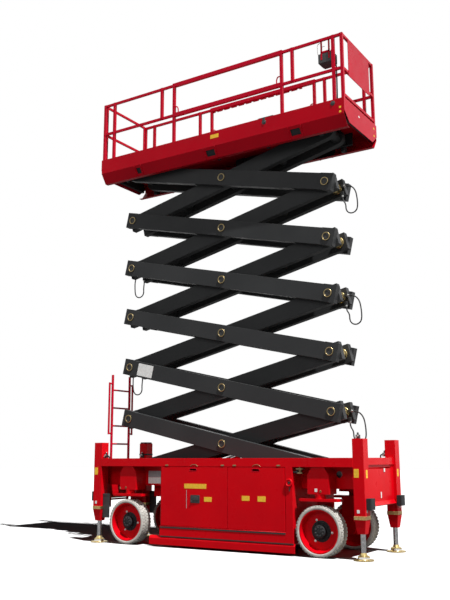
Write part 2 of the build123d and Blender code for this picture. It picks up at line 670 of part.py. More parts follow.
# ---------------------------------------------------------------- side trays
with BuildPart() as trays:
    for side in (-1, 1):
        depth = span(side, SPINE_HALF, HALF_WIDTH)
        block((TRAY_REAR, TRAY_FRONT), depth, (SILL_BOTTOM, DOOR_BOTTOM - DOOR_GAP))
        block((TRAY_REAR + PLATE, TRAY_FRONT - PLATE), span(side, SPINE_HALF, HALF_WIDTH - PLATE),
              (SILL_BOTTOM + PLATE, DOOR_BOTTOM - DOOR_GAP - PLATE), Mode.SUBTRACT)
        upper_in = SIDE_PLATE_Y + PLATE
        for inner_y, z in ((SPINE_HALF, (SILL_BOTTOM, CHASSIS_FLOOR)),
                           (upper_in, (CHASSIS_FLOOR, BEAM_BOTTOM))):
            block((TRAY_REAR, TRAY_REAR + PLATE / 2), span(side, inner_y, HALF_WIDTH - 40), z)
            block((DOOR_FRONT + DOOR_GAP, DOOR_FRONT + DOOR_GAP + PLATE),
                  span(side, inner_y, HALF_WIDTH - PLATE), z)
            block((TRAY_FRONT - PLATE, TRAY_FRONT), span(side, inner_y, HALF_WIDTH - PLATE), z)
        block((DOOR_FRONT + DOOR_GAP, TRAY_FRONT), span(side, HALF_WIDTH - PLATE, HALF_WIDTH),
              (SILL_BOTTOM, BEAM_BOTTOM))
        # lower hinge pins of the doors, each with a shoulder that the door rides on
        for x in DOOR_HINGES:
            sill = DOOR_BOTTOM - DOOR_GAP
            upright_pin(x, side * DOOR_MIDDLE_Y, (sill, DOOR_BOTTOM + HINGE_PIN_REACH))
            upright_pin(x, side * DOOR_MIDDLE_Y, (sill, DOOR_BOTTOM - SEAT), DOOR_THICKNESS / 2 - 2)
        # flared guard under the sill
        guard = span(side, HALF_WIDTH - 60, HALF_WIDTH)
        with BuildSketch(Plane.YZ.offset(GUARD_REAR)):
            with BuildLine():
                Polyline((side * (HALF_WIDTH - 40), SILL_BOTTOM),
                         (side * (HALF_WIDTH - GUARD_FLARE), SILL_BOTTOM),
                         (side * HALF_WIDTH, SILL_BOTTOM - 35),
                         (side * HALF_WIDTH, GUARD_BOTTOM),
                         (side * (HALF_WIDTH - PLATE), GUARD_BOTTOM),
                         (side * (HALF_WIDTH - PLATE), SILL_BOTTOM - 42), close=True)
            make_face()
        extrude(amount=GUARD_FRONT - GUARD_REAR)
save(trays, "side_trays")

with BuildPart() as batteries:
    for side in (-1, 1):
        block((TRAY_REAR + 45, DOOR_SEAM - 30), span(side, SPINE_HALF + PLATE, HALF_WIDTH - 45),
              (DOOR_BOTTOM - DOOR_GAP, CHASSIS_FLOOR - PLATE))
save(batteries, "battery_packs")

with BuildPart() as power_units:
    for side in (-1, 1):
        block((DOOR_SEAM + 40, DOOR_FRONT - 90), span(side, SPINE_HALF + PLATE, HALF_WIDTH - 60),
              (DOOR_BOTTOM - DOOR_GAP, CHASSIS_FLOOR - 2 * PLATE))
save(power_units, "power_units")

for side, side_name in ((-1, "right"), (1, "left")):
    doors = (("rear", DOOR_REAR, DOOR_SEAM - DOOR_GAP / 2, -1),
             ("front", DOOR_SEAM + DOOR_GAP / 2, DOOR_FRONT, 1))
    for end_name, x_lo, x_hi, hinge_end in doors:
        with BuildPart() as door:
            face = span(side, HALF_WIDTH - DOOR_THICKNESS, HALF_WIDTH)
            block((x_lo, x_hi), face, (DOOR_BOTTOM, DOOR_TOP))
            hinge_x = x_lo if hinge_end < 0 else x_hi
            hinge_edges = door.edges().filter_by(Axis.Z)
            hinge_edges = hinge_edges.filter_by(lambda e: abs(e.center().X - hinge_x) < 1)
            fillet(hinge_edges, radius=DOOR_THICKNESS / 2 - 0.2)
            pin_x = DOOR_HINGES[0 if hinge_end < 0 else 1]
            upright_pin(pin_x, side * DOOR_MIDDLE_Y, (DOOR_BOTTOM, DOOR_BOTTOM + HINGE_PIN_REACH + PLATE),
                        HINGE_PIN_R + RUNNING, Mode.SUBTRACT)
            upright_pin(pin_x, side * DOOR_MIDDLE_Y, (DOOR_TOP - PLATE, BEAM_BOTTOM + PLATE))
            middle = (x_lo + x_hi) / 2
            with BuildSketch(side_plane(face[1])):
                with Locations((middle, DOOR_TOP - HAND_HOLE_DROP)):
                    SlotOverall(HAND_HOLE_LENGTH, HAND_HOLE_HEIGHT)
            extrude(amount=DOOR_THICKNESS, mode=Mode.SUBTRACT)
            if end_name == "rear":
                outer_skin = span(side, HALF_WIDTH - LATCH_DEPTH, HALF_WIDTH)
                block((LATCH_X - LATCH_WIDTH / 2, LATCH_X + LATCH_WIDTH / 2), outer_skin,
                      (LATCH_Z - LATCH_HEIGHT / 2, LATCH_Z + LATCH_HEIGHT / 2), Mode.SUBTRACT)
        save(door, f"door_{end_name}_{side_name}")

# ---------------------------------------------------------------- ladder
with BuildPart() as ladder:
    for side in (-1, 1):
        y = side * LADDER_HALF
        tube_between((LADDER_X, y, LADDER_BOTTOM), (LADDER_X, y, LADDER_TOP), LADDER_TUBE_R)
        grab = y + side * GRAB_OUT
        tube_between((LADDER_X, grab, GRAB_BOTTOM), (LADDER_X, grab, GRAB_TOP), GRAB_R)
        for z in (GRAB_BOTTOM + GRAB_R, GRAB_TOP - GRAB_R):
            tube_between((LADDER_X, y, z), (LADDER_X, grab, z), GRAB_R * 0.8)
        for z in (END_PLATE_BOTTOM + 60, SLOT_Z - 70):
            block((LADDER_X, -END_PLATE_X), (y - 12, y + 12), (z - 20, z + 20))
    for index in range(RUNG_COUNT):
        z = RUNG_TOP - index * RUNG_PITCH
        tube_between((LADDER_X, -LADDER_HALF, z), (LADDER_X, LADDER_HALF, z), RUNG_R)
save(ladder, "ladder")

# ---------------------------------------------------------------- wheels, steering, jacks
corners = [(end, side, f"{end_name}_{side_name}")
           for end, end_name in ((-1, "rear"), (1, "front"))
           for side, side_name in ((-1, "right"), (1, "left"))]
leg_out = WHEEL_Y - TYRE_WIDTH / 2 - STEER_SIDE_GAP - 20
leg_in = leg_out - LEG_THICKNESS

for end, side, corner in corners:
    wheel_x = end * WHEEL_X
    spin = Axis((wheel_x, 0, TYRE_R), (0, 1, 0))
    half = TYRE_WIDTH / 2
    # half-section planes: local X is the radius, local Y runs outwards across the wheel
    section = Plane(origin=(wheel_x, side * WHEEL_Y, TYRE_R), x_dir=(1, 0, 0), z_dir=(0, 0, side))

    with BuildPart() as tyre:
        with BuildSketch(section):
            with BuildLine():
                Polyline((RIM_R, -half), (RIM_R, half), (TYRE_R - 16, half), (TYRE_R, half - 16),
                         (TYRE_R, -half + 16), (TYRE_R - 16, -half), close=True)
            make_face()
        revolve(axis=spin)
    save(tyre, f"tyre_{corner}")

    with BuildPart() as rim:
        with BuildSketch(section):
            with BuildLine():
                face = half - RIM_DISH
                Polyline((0, face - RIM_WALL), (RIM_R - RIM_WALL - 30, face - RIM_WALL),
                         (RIM_R - RIM_WALL, -half + 6), (RIM_R, -half + 6), (RIM_R, half - 6),
                         (RIM_R - RIM_WALL, half - 6), (RIM_R - RIM_WALL - 22, face),
                         (HUB_DRUM_R, face), (HUB_DRUM_R, face + HUB_DRUM_REACH - 8),
                         (HUB_DRUM_R - 8, face + HUB_DRUM_REACH), (0, face + HUB_DRUM_REACH), close=True)
            make_face()
        revolve(axis=spin)
        with BuildSketch(Plane(origin=(wheel_x, side * (WHEEL_Y + face - RIM_WALL), TYRE_R),
                               x_dir=(1, 0, 0), z_dir=(0, side, 0))):
            Circle(STUB_R + RUNNING)
        extrude(amount=RIM_WALL + HUB_DRUM_REACH - 12, mode=Mode.SUBTRACT)
    save(rim, f"rim_{corner}")

    with BuildPart() as knuckle:
        with BuildSketch(Plane.XY.offset(STEER_PLATE_Z)):
            with Locations((wheel_x, side * WHEEL_Y)):
                Rectangle(STEER_PLATE_LENGTH, STEER_PLATE_WIDTH)
            with Locations((wheel_x, side * (WHEEL_Y + leg_in) / 2)):
                Rectangle(LEG_LENGTH, WHEEL_Y - leg_in)
        extrude(amount=STEER_PLATE)
        fillet(knuckle.edges().filter_by(Axis.Z).filter_by(
            lambda e: abs(abs(e.center().X) - WHEEL_X) > STEER_PLATE_LENGTH / 2 - 1), radius=30)
        with BuildSketch(Plane.XY.offset(STEER_PLATE_Z + STEER_PLATE)):
            with Locations((wheel_x, side * WHEEL_Y)):
                Circle(KINGPIN_R)
        extrude(amount=KINGPIN_TOP - STEER_PLATE_Z - STEER_PLATE)
        with BuildSketch(Plane.XY.offset(STEER_PLATE_Z + STEER_PLATE)):
            with Locations((wheel_x, side * WHEEL_Y)):
                Circle(KINGPIN_R + 18)
        extrude(amount=HOUSING_BOTTOM - STEER_PLATE_Z - STEER_PLATE - SEAT)
        block((wheel_x - LEG_LENGTH / 2, wheel_x + LEG_LENGTH / 2), span(side, leg_in, leg_out),
              (LEG_BOTTOM, STEER_PLATE_Z))
        hub_face = WHEEL_Y + half - RIM_DISH - RIM_WALL
        rod_y(wheel_x, TYRE_R, MOTOR_R, span(side, leg_in - 40, hub_face - 16))
        rod_y(wheel_x, TYRE_R, STUB_R, span(side, leg_out, hub_face + RIM_WALL + HUB_DRUM_REACH - 14))
    save(knuckle, f"knuckle_{corner}")

    with BuildPart() as jack:
        post_x = end * POST_X
        post_y = side * POST_Y
        with BuildSketch(Plane(origin=(post_x, post_y, 0), x_dir=(1, 0, 0), z_dir=(0, -1, 0))):
            with BuildLine():
                Polyline((0, 0), (PAD_R, 0), (PAD_R, PAD_EDGE), (PAD_HUB_R + 12, PAD_EDGE + 8),
                         (PAD_HUB_R, PAD_HUB_Z), (ROD_R + 10, PAD_HUB_Z + 10),
                         (ROD_R, PAD_NECK_Z), (ROD_R, ROD_TOP), (0, ROD_TOP), close=True)
            make_face()
        revolve(axis=Axis((post_x, post_y, 0), (0, 0, 1)))
    save(jack, f"jack_leg_{corner}")

# ---------------------------------------------------------------- lift cylinder
cylinder_run = Vector(ROD_EYE[0] - BARREL_PIVOT[0], 0, ROD_EYE[1] - BARREL_PIVOT[1])
cylinder_dir = cylinder_run.normalized()
barrel_start = Vector(BARREL_PIVOT[0], 0, BARREL_PIVOT[1])
rod_end = Vector(ROD_EYE[0], 0, ROD_EYE[1])
barrel_base = EYE_R + 14
with BuildPart() as barrel:
    with BuildSketch(Plane(origin=barrel_start, z_dir=cylinder_dir)):
        Circle(CYL_ROD_R)
    extrude(amount=barrel_base)
    with BuildSketch(Plane(origin=barrel_start + cylinder_dir * barrel_base, z_dir=cylinder_dir)):
        Circle(BARREL_R)
    extrude(amount=BARREL_LENGTH - barrel_base)
    rod_y(*BARREL_PIVOT, EYE_R, (-EYE_WIDTH / 2, EYE_WIDTH / 2))
    with BuildSketch(Plane(origin=barrel_start + cylinder_dir * (barrel_base + 20), z_dir=cylinder_dir)):
        Circle(CYL_ROD_R + RUNNING)
    extrude(amount=BARREL_LENGTH, mode=Mode.SUBTRACT)
    rod_y(*BARREL_PIVOT, EYE_PIN_R + RUNNING, (-EYE_WIDTH / 2, EYE_WIDTH / 2), Mode.SUBTRACT)
save(barrel, "lift_cylinder_barrel")

with BuildPart() as piston:
    rod_length = cylinder_run.length - barrel_base - 100
    with BuildSketch(Plane(origin=rod_end - cylinder_dir * rod_length, z_dir=cylinder_dir)):
        Circle(CYL_ROD_R)
    extrude(amount=rod_length)
    rod_y(*ROD_EYE, EYE_R, (-EYE_WIDTH / 2, EYE_WIDTH / 2))
save(piston, "lift_cylinder_rod")

# ---------------------------------------------------------------- platform
tray_rear = PLATFORM_REAR + END_SHEET + 1
tray_front = PLATFORM_FRONT - END_SHEET - 1
bevel_y = PLATFORM_HALF_W - BEVEL_IN
bevel_z = FASCIA_BOTTOM - BEVEL_DROP
with BuildPart() as deck:
    block((tray_rear, tray_front), (-PLATFORM_HALF_W + SHEET, PLATFORM_HALF_W - SHEET),
          (DECK_TOP - DECK_PLATE, DECK_TOP))
save(deck, "platform_deck")

with BuildPart() as fascias:
    for side in (-1, 1):
        out = PLATFORM_HALF_W
        flange_y = bevel_y - FLANGE
        with BuildSketch(Plane.YZ.offset(tray_rear)):
            with BuildLine():
                Polyline((side * out, FASCIA_TOP), (side * out, FASCIA_BOTTOM),
                         (side * bevel_y, bevel_z), (side * flange_y, bevel_z),
                         (side * flange_y, bevel_z + SHEET), (side * (bevel_y - 2), bevel_z + SHEET),
                         (side * (out - SHEET), FASCIA_BOTTOM + 2),
                         (side * (out - SHEET), FASCIA_TOP), close=True)
            make_face()
        extrude(amount=tray_front - tray_rear)
        # pairs of ribs on the sloping sheet, with an opening between
        for x_rear, x_front in RIB_PAIRS:
            block((x_rear + RIB_MARGIN, x_front - RIB_MARGIN), span(side, bevel_y + 20, out - 20),
                  (bevel_z + 35, FASCIA_BOTTOM - 35), Mode.SUBTRACT)
            for x in (x_rear, x_front):
                with BuildSketch(Plane.YZ.offset(x - SHEET)):
                    with BuildLine():
                        Polyline((side * out, FASCIA_BOTTOM), (side * out, FASCIA_BOTTOM - 18),
                                 (side * (bevel_y + 14), bevel_z), (side * bevel_y, bevel_z), close=True)
                    make_face()
                extrude(amount=2 * SHEET)
save(fascias, "platform_fascias")

under_deck = DECK_TOP - DECK_PLATE
with BuildPart() as bearers:
    track = (TRACK_START, TRACK_END)
    track_top = TOP_PIN_Z - ROLLER_R - TRACK_GAP
    for side in (-1, 1):
        # pivot bracket at the rear
        block((PIN_LEFT - BRACKET_HALF_X, PIN_LEFT + BRACKET_HALF_X), span(side, ROLLER_IN, ROLLER_OUT),
              (TOP_PIN_Z - BRACKET_DROP, under_deck))
        rod_y(PIN_LEFT, TOP_PIN_Z, SHAFT_R + RUNNING, span(side, ROLLER_IN, ROLLER_OUT),
              Mode.SUBTRACT)
        # roller track at the front
        block(track, span(side, SIDE_PLATE_Y, SIDE_PLATE_Y + TRACK_WEB),
              (track_top - TRACK_PLATE, under_deck))
        block(track, span(side, ROLLER_IN, SIDE_PLATE_Y), (track_top - TRACK_PLATE, track_top))
        # bearers out to the fascia's lower flange
        bearer_x = [PIN_LEFT - BEARER_PITCH / 12]
        bearer_x += [STACK_X + step * BEARER_PITCH for step in (-1, 0, 1, 2)]
        for x in bearer_x:
            block((x - BEARER_WIDTH / 2, x + BEARER_WIDTH / 2), span(side, ROLLER_OUT, bevel_y - SHEET),
                  (bevel_z + SHEET, under_deck))
    for x in (tray_rear + BEARER_WIDTH, tray_front - BEARER_WIDTH):
        block((x - BEARER_WIDTH / 2, x + BEARER_WIDTH / 2), (-bevel_y + SHEET, bevel_y - SHEET),
              (END_BOTTOM + BEARER_WIDTH, under_deck))
save(bearers, "platform_bearers")


def side_rail(x, y, z, width, height):
    """A rectangular tube's outline along X, centred on y and z."""
    block(x, (y - width / 2, y + width / 2), (z - height / 2, z + height / 2))


with BuildPart() as rails:
    for side in (-1, 1):
        y = side * RAIL_Y
        for x in CENTRE_POSTS:
            block((x - POST_TUBE / 2, x + POST_TUBE / 2), (y - POST_TUBE / 2, y + POST_TUBE / 2),
                  (DECK_TOP + EXT_GAP + EXT_PLATE + 20, RAIL_TOP - RAIL_TUBE_H))
            block((x - POST_TUBE / 2, x + POST_TUBE / 2),
                  span(side, RAIL_Y - POST_TUBE / 2, PLATFORM_HALF_W - SHEET),
                  (DECK_TOP + EXT_GAP + EXT_PLATE + 20, FASCIA_TOP))
        for z in (RAIL_Z, MID_RAIL_Z):
            reach = (CENTRE_POSTS[0] - POST_TUBE / 2, CENTRE_POSTS[1] + POST_TUBE / 2)
            side_rail(reach, y, z, RAIL_TUBE_W, RAIL_TUBE_H)
            with BuildSketch(Plane.YZ.offset(reach[0])):
                with Locations((y, z)):
                    Rectangle(RAIL_TUBE_W - 2 * RAIL_WALL, RAIL_TUBE_H - 2 * RAIL_WALL)
            extrude(amount=reach[1] - reach[0], mode=Mode.SUBTRACT)
    # notched bar under the left top rail, for the latch of the sliding deck
    bar_top = RAIL_TOP - RAIL_TUBE_H
    bar_y = (RAIL_Y - SHEET, RAIL_Y + SHEET)
    bar_start = CENTRE_POSTS[0] + POST_TUBE / 2
    block((bar_start, bar_start + NOTCHES * NOTCH_PITCH), bar_y, (bar_top - NOTCHED_DEPTH, bar_top))
    for index in range(NOTCHES):
        x = bar_start + (index + 0.5) * NOTCH_PITCH
        block((x - NOTCH_HALF, x + NOTCH_HALF), bar_y,
              (bar_top - NOTCHED_DEPTH, bar_top - NOTCHED_DEPTH / 2), Mode.SUBTRACT)
save(rails, "platform_rails")


def extension(end, outer_x, post_x, half_post_x):
    """Sliding deck with its end plate, kick plates and telescoping rails."""
    inner_x = outer_x - end * EXT_LENGTH
    slide_x = CENTRE_POSTS[0 if end < 0 else 1] - end * SLIDE_OVERLAP
    corner_x = outer_x - end * (END_SHEET + POST_TUBE / 2)

    def along(a, b):
        return (min(a, b), max(a, b))

    block(along(inner_x, outer_x - end * END_SHEET), (-EXT_HALF_W, EXT_HALF_W),
          (DECK_TOP + EXT_GAP, EXT_TOP))
    # end plate with its chamfered lower corners
    with BuildSketch(Plane.YZ.offset(outer_x if end < 0 else outer_x - END_SHEET)) as sheet:
        with BuildLine():
            Polyline((-PLATFORM_HALF_W, FASCIA_TOP), (PLATFORM_HALF_W, FASCIA_TOP),
                     (PLATFORM_HALF_W, FASCIA_BOTTOM + 50), (bevel_y - 60, END_BOTTOM),
                     (-bevel_y + 60, END_BOTTOM), (-PLATFORM_HALF_W, FASCIA_BOTTOM + 50), close=True)
        make_face()
    extrude(sheet.sketch, amount=END_SHEET)
    for side in (-1, 1):
        y = side * RAIL_Y
        block(along(half_post_x, outer_x - end * END_SHEET), span(side, EXT_HALF_W - 4, EXT_HALF_W),
              (EXT_TOP, EXT_TOP + KICK))
        for z in (RAIL_Z, MID_RAIL_Z):
            side_rail(along(slide_x, corner_x), y, z, SLIDE_TUBE_W, SLIDE_TUBE_H)
        tube = POST_TUBE / 2
        block((half_post_x - tube, half_post_x + tube), (y - tube, y + tube),
              (MID_RAIL_Z, RAIL_Z + SLIDE_TUBE_H / 2))
        for x in (post_x, corner_x):
            block((x - tube, x + tube), (y - tube, y + tube), (EXT_TOP, RAIL_Z + SLIDE_TUBE_H / 2))


with BuildPart() as front_extension:
    extension(1, PLATFORM_FRONT, PLATFORM_FRONT - EXT_POST_FRONT, CENTRE_POSTS[1] + HALF_POST_FRONT)
    frame_x = PLATFORM_FRONT - END_SHEET - POST_TUBE / 2
    for z in (RAIL_Z, MID_RAIL_Z, FASCIA_TOP + 60):
        block((frame_x - 16, frame_x + 16), (-RAIL_Y, RAIL_Y), (z - 18, z + 18))
    block((frame_x + 16, frame_x + 16 + PANEL_SHEET), (-PANEL_HALF, PANEL_HALF), (PANEL_BOTTOM, RAIL_Z + 10))
save(front_extension, "front_extension")

with BuildPart() as rear_extension:
    extension(-1, PLATFORM_REAR, PLATFORM_REAR + EXT_POST_REAR, CENTRE_POSTS[0] - HALF_POST_REAR)
    # lug and pin under the gate's hinge post
    block((GATE_X - GATE_TUBE / 2, GATE_X + GATE_TUBE / 2),
          (GATE_HINGE_Y - GATE_TUBE / 2, RAIL_Y - POST_TUBE / 2),
          (GATE_BOTTOM - SEAT - PLATE, GATE_BOTTOM - SEAT))
    upright_pin(GATE_X, GATE_HINGE_Y, (GATE_BOTTOM - PLATE, GATE_BOTTOM + HINGE_PIN_REACH), GATE_PIN_R)
save(rear_extension, "rear_extension")

with BuildPart() as gate:
    for y in (GATE_HINGE_Y, -GATE_HINGE_Y):
        upright_pin(GATE_X, y, (GATE_BOTTOM, RAIL_Z + GATE_RAIL_H / 2), GATE_TUBE / 2)
    for z in (RAIL_Z, MID_RAIL_Z, GATE_BOTTOM + 40):
        block((GATE_X - GATE_RAIL_W / 2, GATE_X + GATE_RAIL_W / 2), (-GATE_HINGE_Y, GATE_HINGE_Y),
              (z - GATE_RAIL_H / 2, z + GATE_RAIL_H / 2))
    upright_pin(GATE_X, GATE_HINGE_Y, (GATE_BOTTOM, GATE_BOTTOM + HINGE_PIN_REACH + PLATE),
             GATE_PIN_R + RUNNING, Mode.SUBTRACT)
save(gate, "entry_gate")

with BuildPart() as control_box:
    box_y = -RAIL_Y + SLIDE_TUBE_W / 2 + 4 + BOX_SIZE[1] / 2
    with Locations((BOX_X, box_y, BOX_Z)):
        Box(*BOX_SIZE)
    chamfer(control_box.edges().group_by(Axis.Z)[0], length=BOX_CHAMFER)
    block((BOX_X - BRACKET_HALF, BOX_X + BRACKET_HALF), (box_y - BOX_SIZE[1] / 2 - 4, box_y - BOX_SIZE[1] / 2),
          (BOX_Z, RAIL_Z + SLIDE_TUBE_H / 2))
save(control_box, "control_box")
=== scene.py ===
"""Finishes and fittings of a slab scissor lift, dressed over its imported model.

Metres. +X is the end with the panel, -Y the side towards the camera, Z up.
"""
import json
import math

import bmesh
import bpy
from mathutils import Matrix, Vector

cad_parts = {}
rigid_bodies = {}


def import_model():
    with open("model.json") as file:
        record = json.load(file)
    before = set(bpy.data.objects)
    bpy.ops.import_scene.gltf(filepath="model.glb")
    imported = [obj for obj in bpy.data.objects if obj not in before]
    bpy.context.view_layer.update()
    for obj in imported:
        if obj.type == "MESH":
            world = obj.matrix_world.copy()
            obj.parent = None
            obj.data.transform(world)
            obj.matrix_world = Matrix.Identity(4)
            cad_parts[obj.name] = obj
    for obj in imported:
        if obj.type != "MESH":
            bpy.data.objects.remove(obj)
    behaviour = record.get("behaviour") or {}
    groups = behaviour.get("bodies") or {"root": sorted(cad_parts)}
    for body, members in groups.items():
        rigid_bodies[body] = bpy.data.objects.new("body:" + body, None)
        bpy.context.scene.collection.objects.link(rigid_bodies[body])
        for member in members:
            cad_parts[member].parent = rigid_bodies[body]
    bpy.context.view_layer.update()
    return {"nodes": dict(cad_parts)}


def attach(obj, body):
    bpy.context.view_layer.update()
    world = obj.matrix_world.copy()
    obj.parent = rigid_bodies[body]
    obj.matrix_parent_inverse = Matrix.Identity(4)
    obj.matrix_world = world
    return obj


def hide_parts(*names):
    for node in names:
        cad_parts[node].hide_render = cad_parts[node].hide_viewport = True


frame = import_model()
nodes = frame["nodes"]

# ---------------------------------------------------------------- sizes shared with the frame
LEVELS = 6
ARM_PITCH = 3.370
REST_ANGLE = math.radians(13.1)
STACK_X = -0.080
BASE_PIN_Z = 0.985
LEVEL_HEIGHT = ARM_PITCH * math.sin(REST_ANGLE)
SPREAD = ARM_PITCH * math.cos(REST_ANGLE)
PIN_REAR = STACK_X - SPREAD / 2
PIN_FRONT = STACK_X + SPREAD / 2
OUTER_FACE = 0.295
SHAFT_FACE = 0.300
PIN_TO_POST = 0.309
POST_X = PIN_TO_POST - PIN_REAR
POST_Y = 0.5245
WHEEL_TO_POST = 0.545
WHEEL_X = POST_X - WHEEL_TO_POST
WHEEL_Y = 0.505
WHEEL_Z = 0.305
SIDES = ((-1, "right"), (1, "left"))
ENDS = ((-1, "rear"), (1, "front"))
CORNERS = [(end, side, f"{end_name}_{side_name}")
           for end, end_name in ENDS for side, side_name in SIDES]


# ---------------------------------------------------------------- finishes
# a colour mix's sockets go by number: its other kinds of socket share their names
MIX_UNDER, MIX_OVER, MIX_RESULT = 6, 7, 2
NOISE_ROUGH = 0.55
BEVEL_SAMPLES = 4
ENAMEL_SPECULAR = 0.10
ENAMEL_COAT_ROUGHNESS = 0.08
# how far the rounded normal agrees with the flat one, on a face and at a sharp edge
AGREE_ON_FACE, AGREE_AT_EDGE = 0.995, 0.85


class Finish:
    """Builds one procedural finish, node by node."""

    def __init__(self, name, colour, roughness, metallic=0.0):
        self.material = bpy.data.materials.new(name)
        self.material.use_nodes = True
        self.tree = self.material.node_tree
        self.tree.nodes.clear()
        self.output = self.add("ShaderNodeOutputMaterial")
        self.shader = self.add("ShaderNodeBsdfPrincipled", base_color=(*colour, 1),
                               roughness=roughness, metallic=metallic)
        self.join(self.shader, "BSDF", self.output, "Surface")
        self.place = self.add("ShaderNodeTexCoord")
        self.colour = None
        self.height = None

    def add(self, kind, **settings):
        """A node with its settings: a property of that name, or else an input."""
        node = self.tree.nodes.new(kind)
        for key, value in settings.items():
            if hasattr(node, key):
                setattr(node, key, value)
            else:
                node.inputs[key.replace("_", " ").title()].default_value = value
        return node

    def join(self, source, out, target, into):
        self.tree.links.new(source.outputs[out], target.inputs[into])

    def noise(self, scale, detail=3, stretch=None):
        """Grain at this many cells to the metre, stretched along an axis if asked."""
        node = self.add("ShaderNodeTexNoise", scale=scale, detail=detail, roughness=NOISE_ROUGH)
        if stretch:
            mapping = self.add("ShaderNodeMapping", scale=stretch)
            self.join(self.place, "Object", mapping, "Vector")
            self.join(mapping, "Vector", node, "Vector")
        else:
            self.join(self.place, "Object", node, "Vector")
        return node, "Fac"

    def ramp(self, source, low, high, low_value=0.0, high_value=1.0):
        """A source's range low..high spread over low_value..high_value, clamped."""
        node = self.add("ShaderNodeMapRange", from_min=low, from_max=high, to_min=low_value,
                        to_max=high_value)
        self.join(*source, node, "Value")
        return node, "Result"

    def times(self, first, second):
        node = self.add("ShaderNodeMath", operation="MULTIPLY")
        self.tree.links.new(first[0].outputs[first[1]], node.inputs[0])
        self.tree.links.new(second[0].outputs[second[1]], node.inputs[1])
        return node, "Value"

    def tint(self, mask, colour):
        """Lays another colour over the finish where the mask is 1."""
        mix = self.add("ShaderNodeMix", data_type="RGBA")
        self.tree.links.new(mask[0].outputs[mask[1]], mix.inputs["Factor"])
        if self.colour is None:
            mix.inputs[MIX_UNDER].default_value = self.shader.inputs["Base Color"].default_value[:]
        else:
            self.tree.links.new(self.colour, mix.inputs[MIX_UNDER])
        mix.inputs[MIX_OVER].default_value = (*colour, 1)
        self.colour = mix.outputs[MIX_RESULT]
        self.tree.links.new(self.colour, self.shader.inputs["Base Color"])
        return self

    def patches(self, scale, detail, low, high, colour):
        """Lays another colour on in patches of grain."""
        return self.tint(self.ramp(self.noise(scale, detail), low, high), colour)

    def gloss(self, source, low, high):
        """Roughness runs from low to high with the source."""
        node, out = self.ramp(source, 0.3, 0.7, low, high)
        self.join(node, out, self.shader, "Roughness")
        return self

    def edges(self, width):
        """Mask of the sharp edges: where the rounded normal leaves the flat one."""
        bevel = self.add("ShaderNodeBevel", samples=BEVEL_SAMPLES, radius=width)
        flat = self.add("ShaderNodeNewGeometry")
        dot = self.add("ShaderNodeVectorMath", operation="DOT_PRODUCT")
        self.tree.links.new(bevel.outputs["Normal"], dot.inputs[0])
        self.tree.links.new(flat.outputs["True Normal"], dot.inputs[1])
        return self.ramp((dot, "Value"), AGREE_ON_FACE, AGREE_AT_EDGE)

    def relief(self, node):
        """Chains a node that bends the surface's normal after the ones before it."""
        if self.height is not None:
            self.tree.links.new(self.height, node.inputs["Normal"])
        self.height = node.outputs["Normal"]
        self.tree.links.new(self.height, self.shader.inputs["Normal"])
        return self

    def bump(self, source, strength, distance):
        """Adds the source as relief."""
        node = self.add("ShaderNodeBump", strength=strength, distance=distance)
        self.join(*source, node, "Height")
        return self.relief(node)

    def rounded(self, radius):
        """Folded and welded edges catch the light as if rounded."""
        return self.relief(self.add("ShaderNodeBevel", samples=BEVEL_SAMPLES, radius=radius))


def sprayed_paint(name, colour, shade, edge, roughness, coat, radius=0.004):
    """Sprayed enamel: slight drift in colour, orange peel, lighter rubbed edges."""
    paint = Finish(name, colour, roughness)
    paint.shader.inputs["Coat Weight"].default_value = coat
    paint.shader.inputs["Specular IOR Level"].default_value = ENAMEL_SPECULAR
    paint.shader.inputs["Coat Roughness"].default_value = ENAMEL_COAT_ROUGHNESS
    paint.rounded(radius)
    paint.patches(1.3, 4, 0.35, 0.75, shade)
    worn = paint.times(paint.edges(radius), paint.ramp(paint.noise(38, 5), 0.42, 0.62))
    paint.tint(worn, edge)
    paint.gloss(paint.noise(6, 4), roughness * 0.8, roughness * 1.25)
    paint.bump(paint.noise(260, 2), 0.06, 0.002)
    return paint


RED = (0.64, 0.0010, 0.0060)
RED_SHADE = (0.52, 0.0010, 0.0060)
RED_EDGE = (0.80, 0.020, 0.030)
body_paint = sprayed_paint("red_enamel", RED, RED_SHADE, RED_EDGE, 0.30, 0.02)
# the platform's red, set darker than the body red: the darkening is painted shade
shaded_platform_paint = sprayed_paint("platform_enamel_shaded", (0.44, 0.0012, 0.010), (0.36, 0.0010, 0.009),
                               RED_EDGE, 0.34, 0.02)
rail_paint = sprayed_paint("rail_enamel", (0.50, 0.0020, 0.020), (0.42, 0.0016, 0.016), RED_EDGE,
                           0.32, 0.02, 0.0025)
arm_paint = sprayed_paint("arm_enamel", (0.040, 0.041, 0.042), (0.030, 0.031, 0.032),
                          (0.15, 0.15, 0.145), 0.42, 0.0, 0.005)
arm_paint.bump(arm_paint.noise(45, 3), 0.05, 0.004)
dark_paint = sprayed_paint("dark_enamel", (0.030, 0.031, 0.033), (0.022, 0.022, 0.024),
                           (0.12, 0.12, 0.12), 0.45, 0.0)

case_plastic = Finish("case_plastic", (0.020, 0.020, 0.021), 0.55)
case_plastic.rounded(0.003)
case_plastic.patches(9, 3, 0.4, 0.7, (0.034, 0.034, 0.035))
case_plastic.bump(case_plastic.noise(900, 1), 0.25, 0.0006)

tyre_rubber = Finish("tyre_rubber", (0.52, 0.50, 0.46), 0.85)
tyre_rubber.patches(14, 5, 0.40, 0.70, (0.40, 0.385, 0.35))
tyre_rubber.patches(60, 4, 0.56, 0.70, (0.30, 0.285, 0.26))
tyre_rubber.bump(tyre_rubber.noise(240, 3), 0.30, 0.002)

chrome = Finish("hard_chrome", (0.80, 0.80, 0.81), 0.10, 1.0)
chrome.patches(22, 4, 0.52, 0.70, (0.66, 0.66, 0.66))
chrome.gloss(chrome.noise(30, 4), 0.08, 0.22)
chrome.bump(chrome.noise(500, 2, stretch=(1, 1, 12)), 0.05, 0.0008)

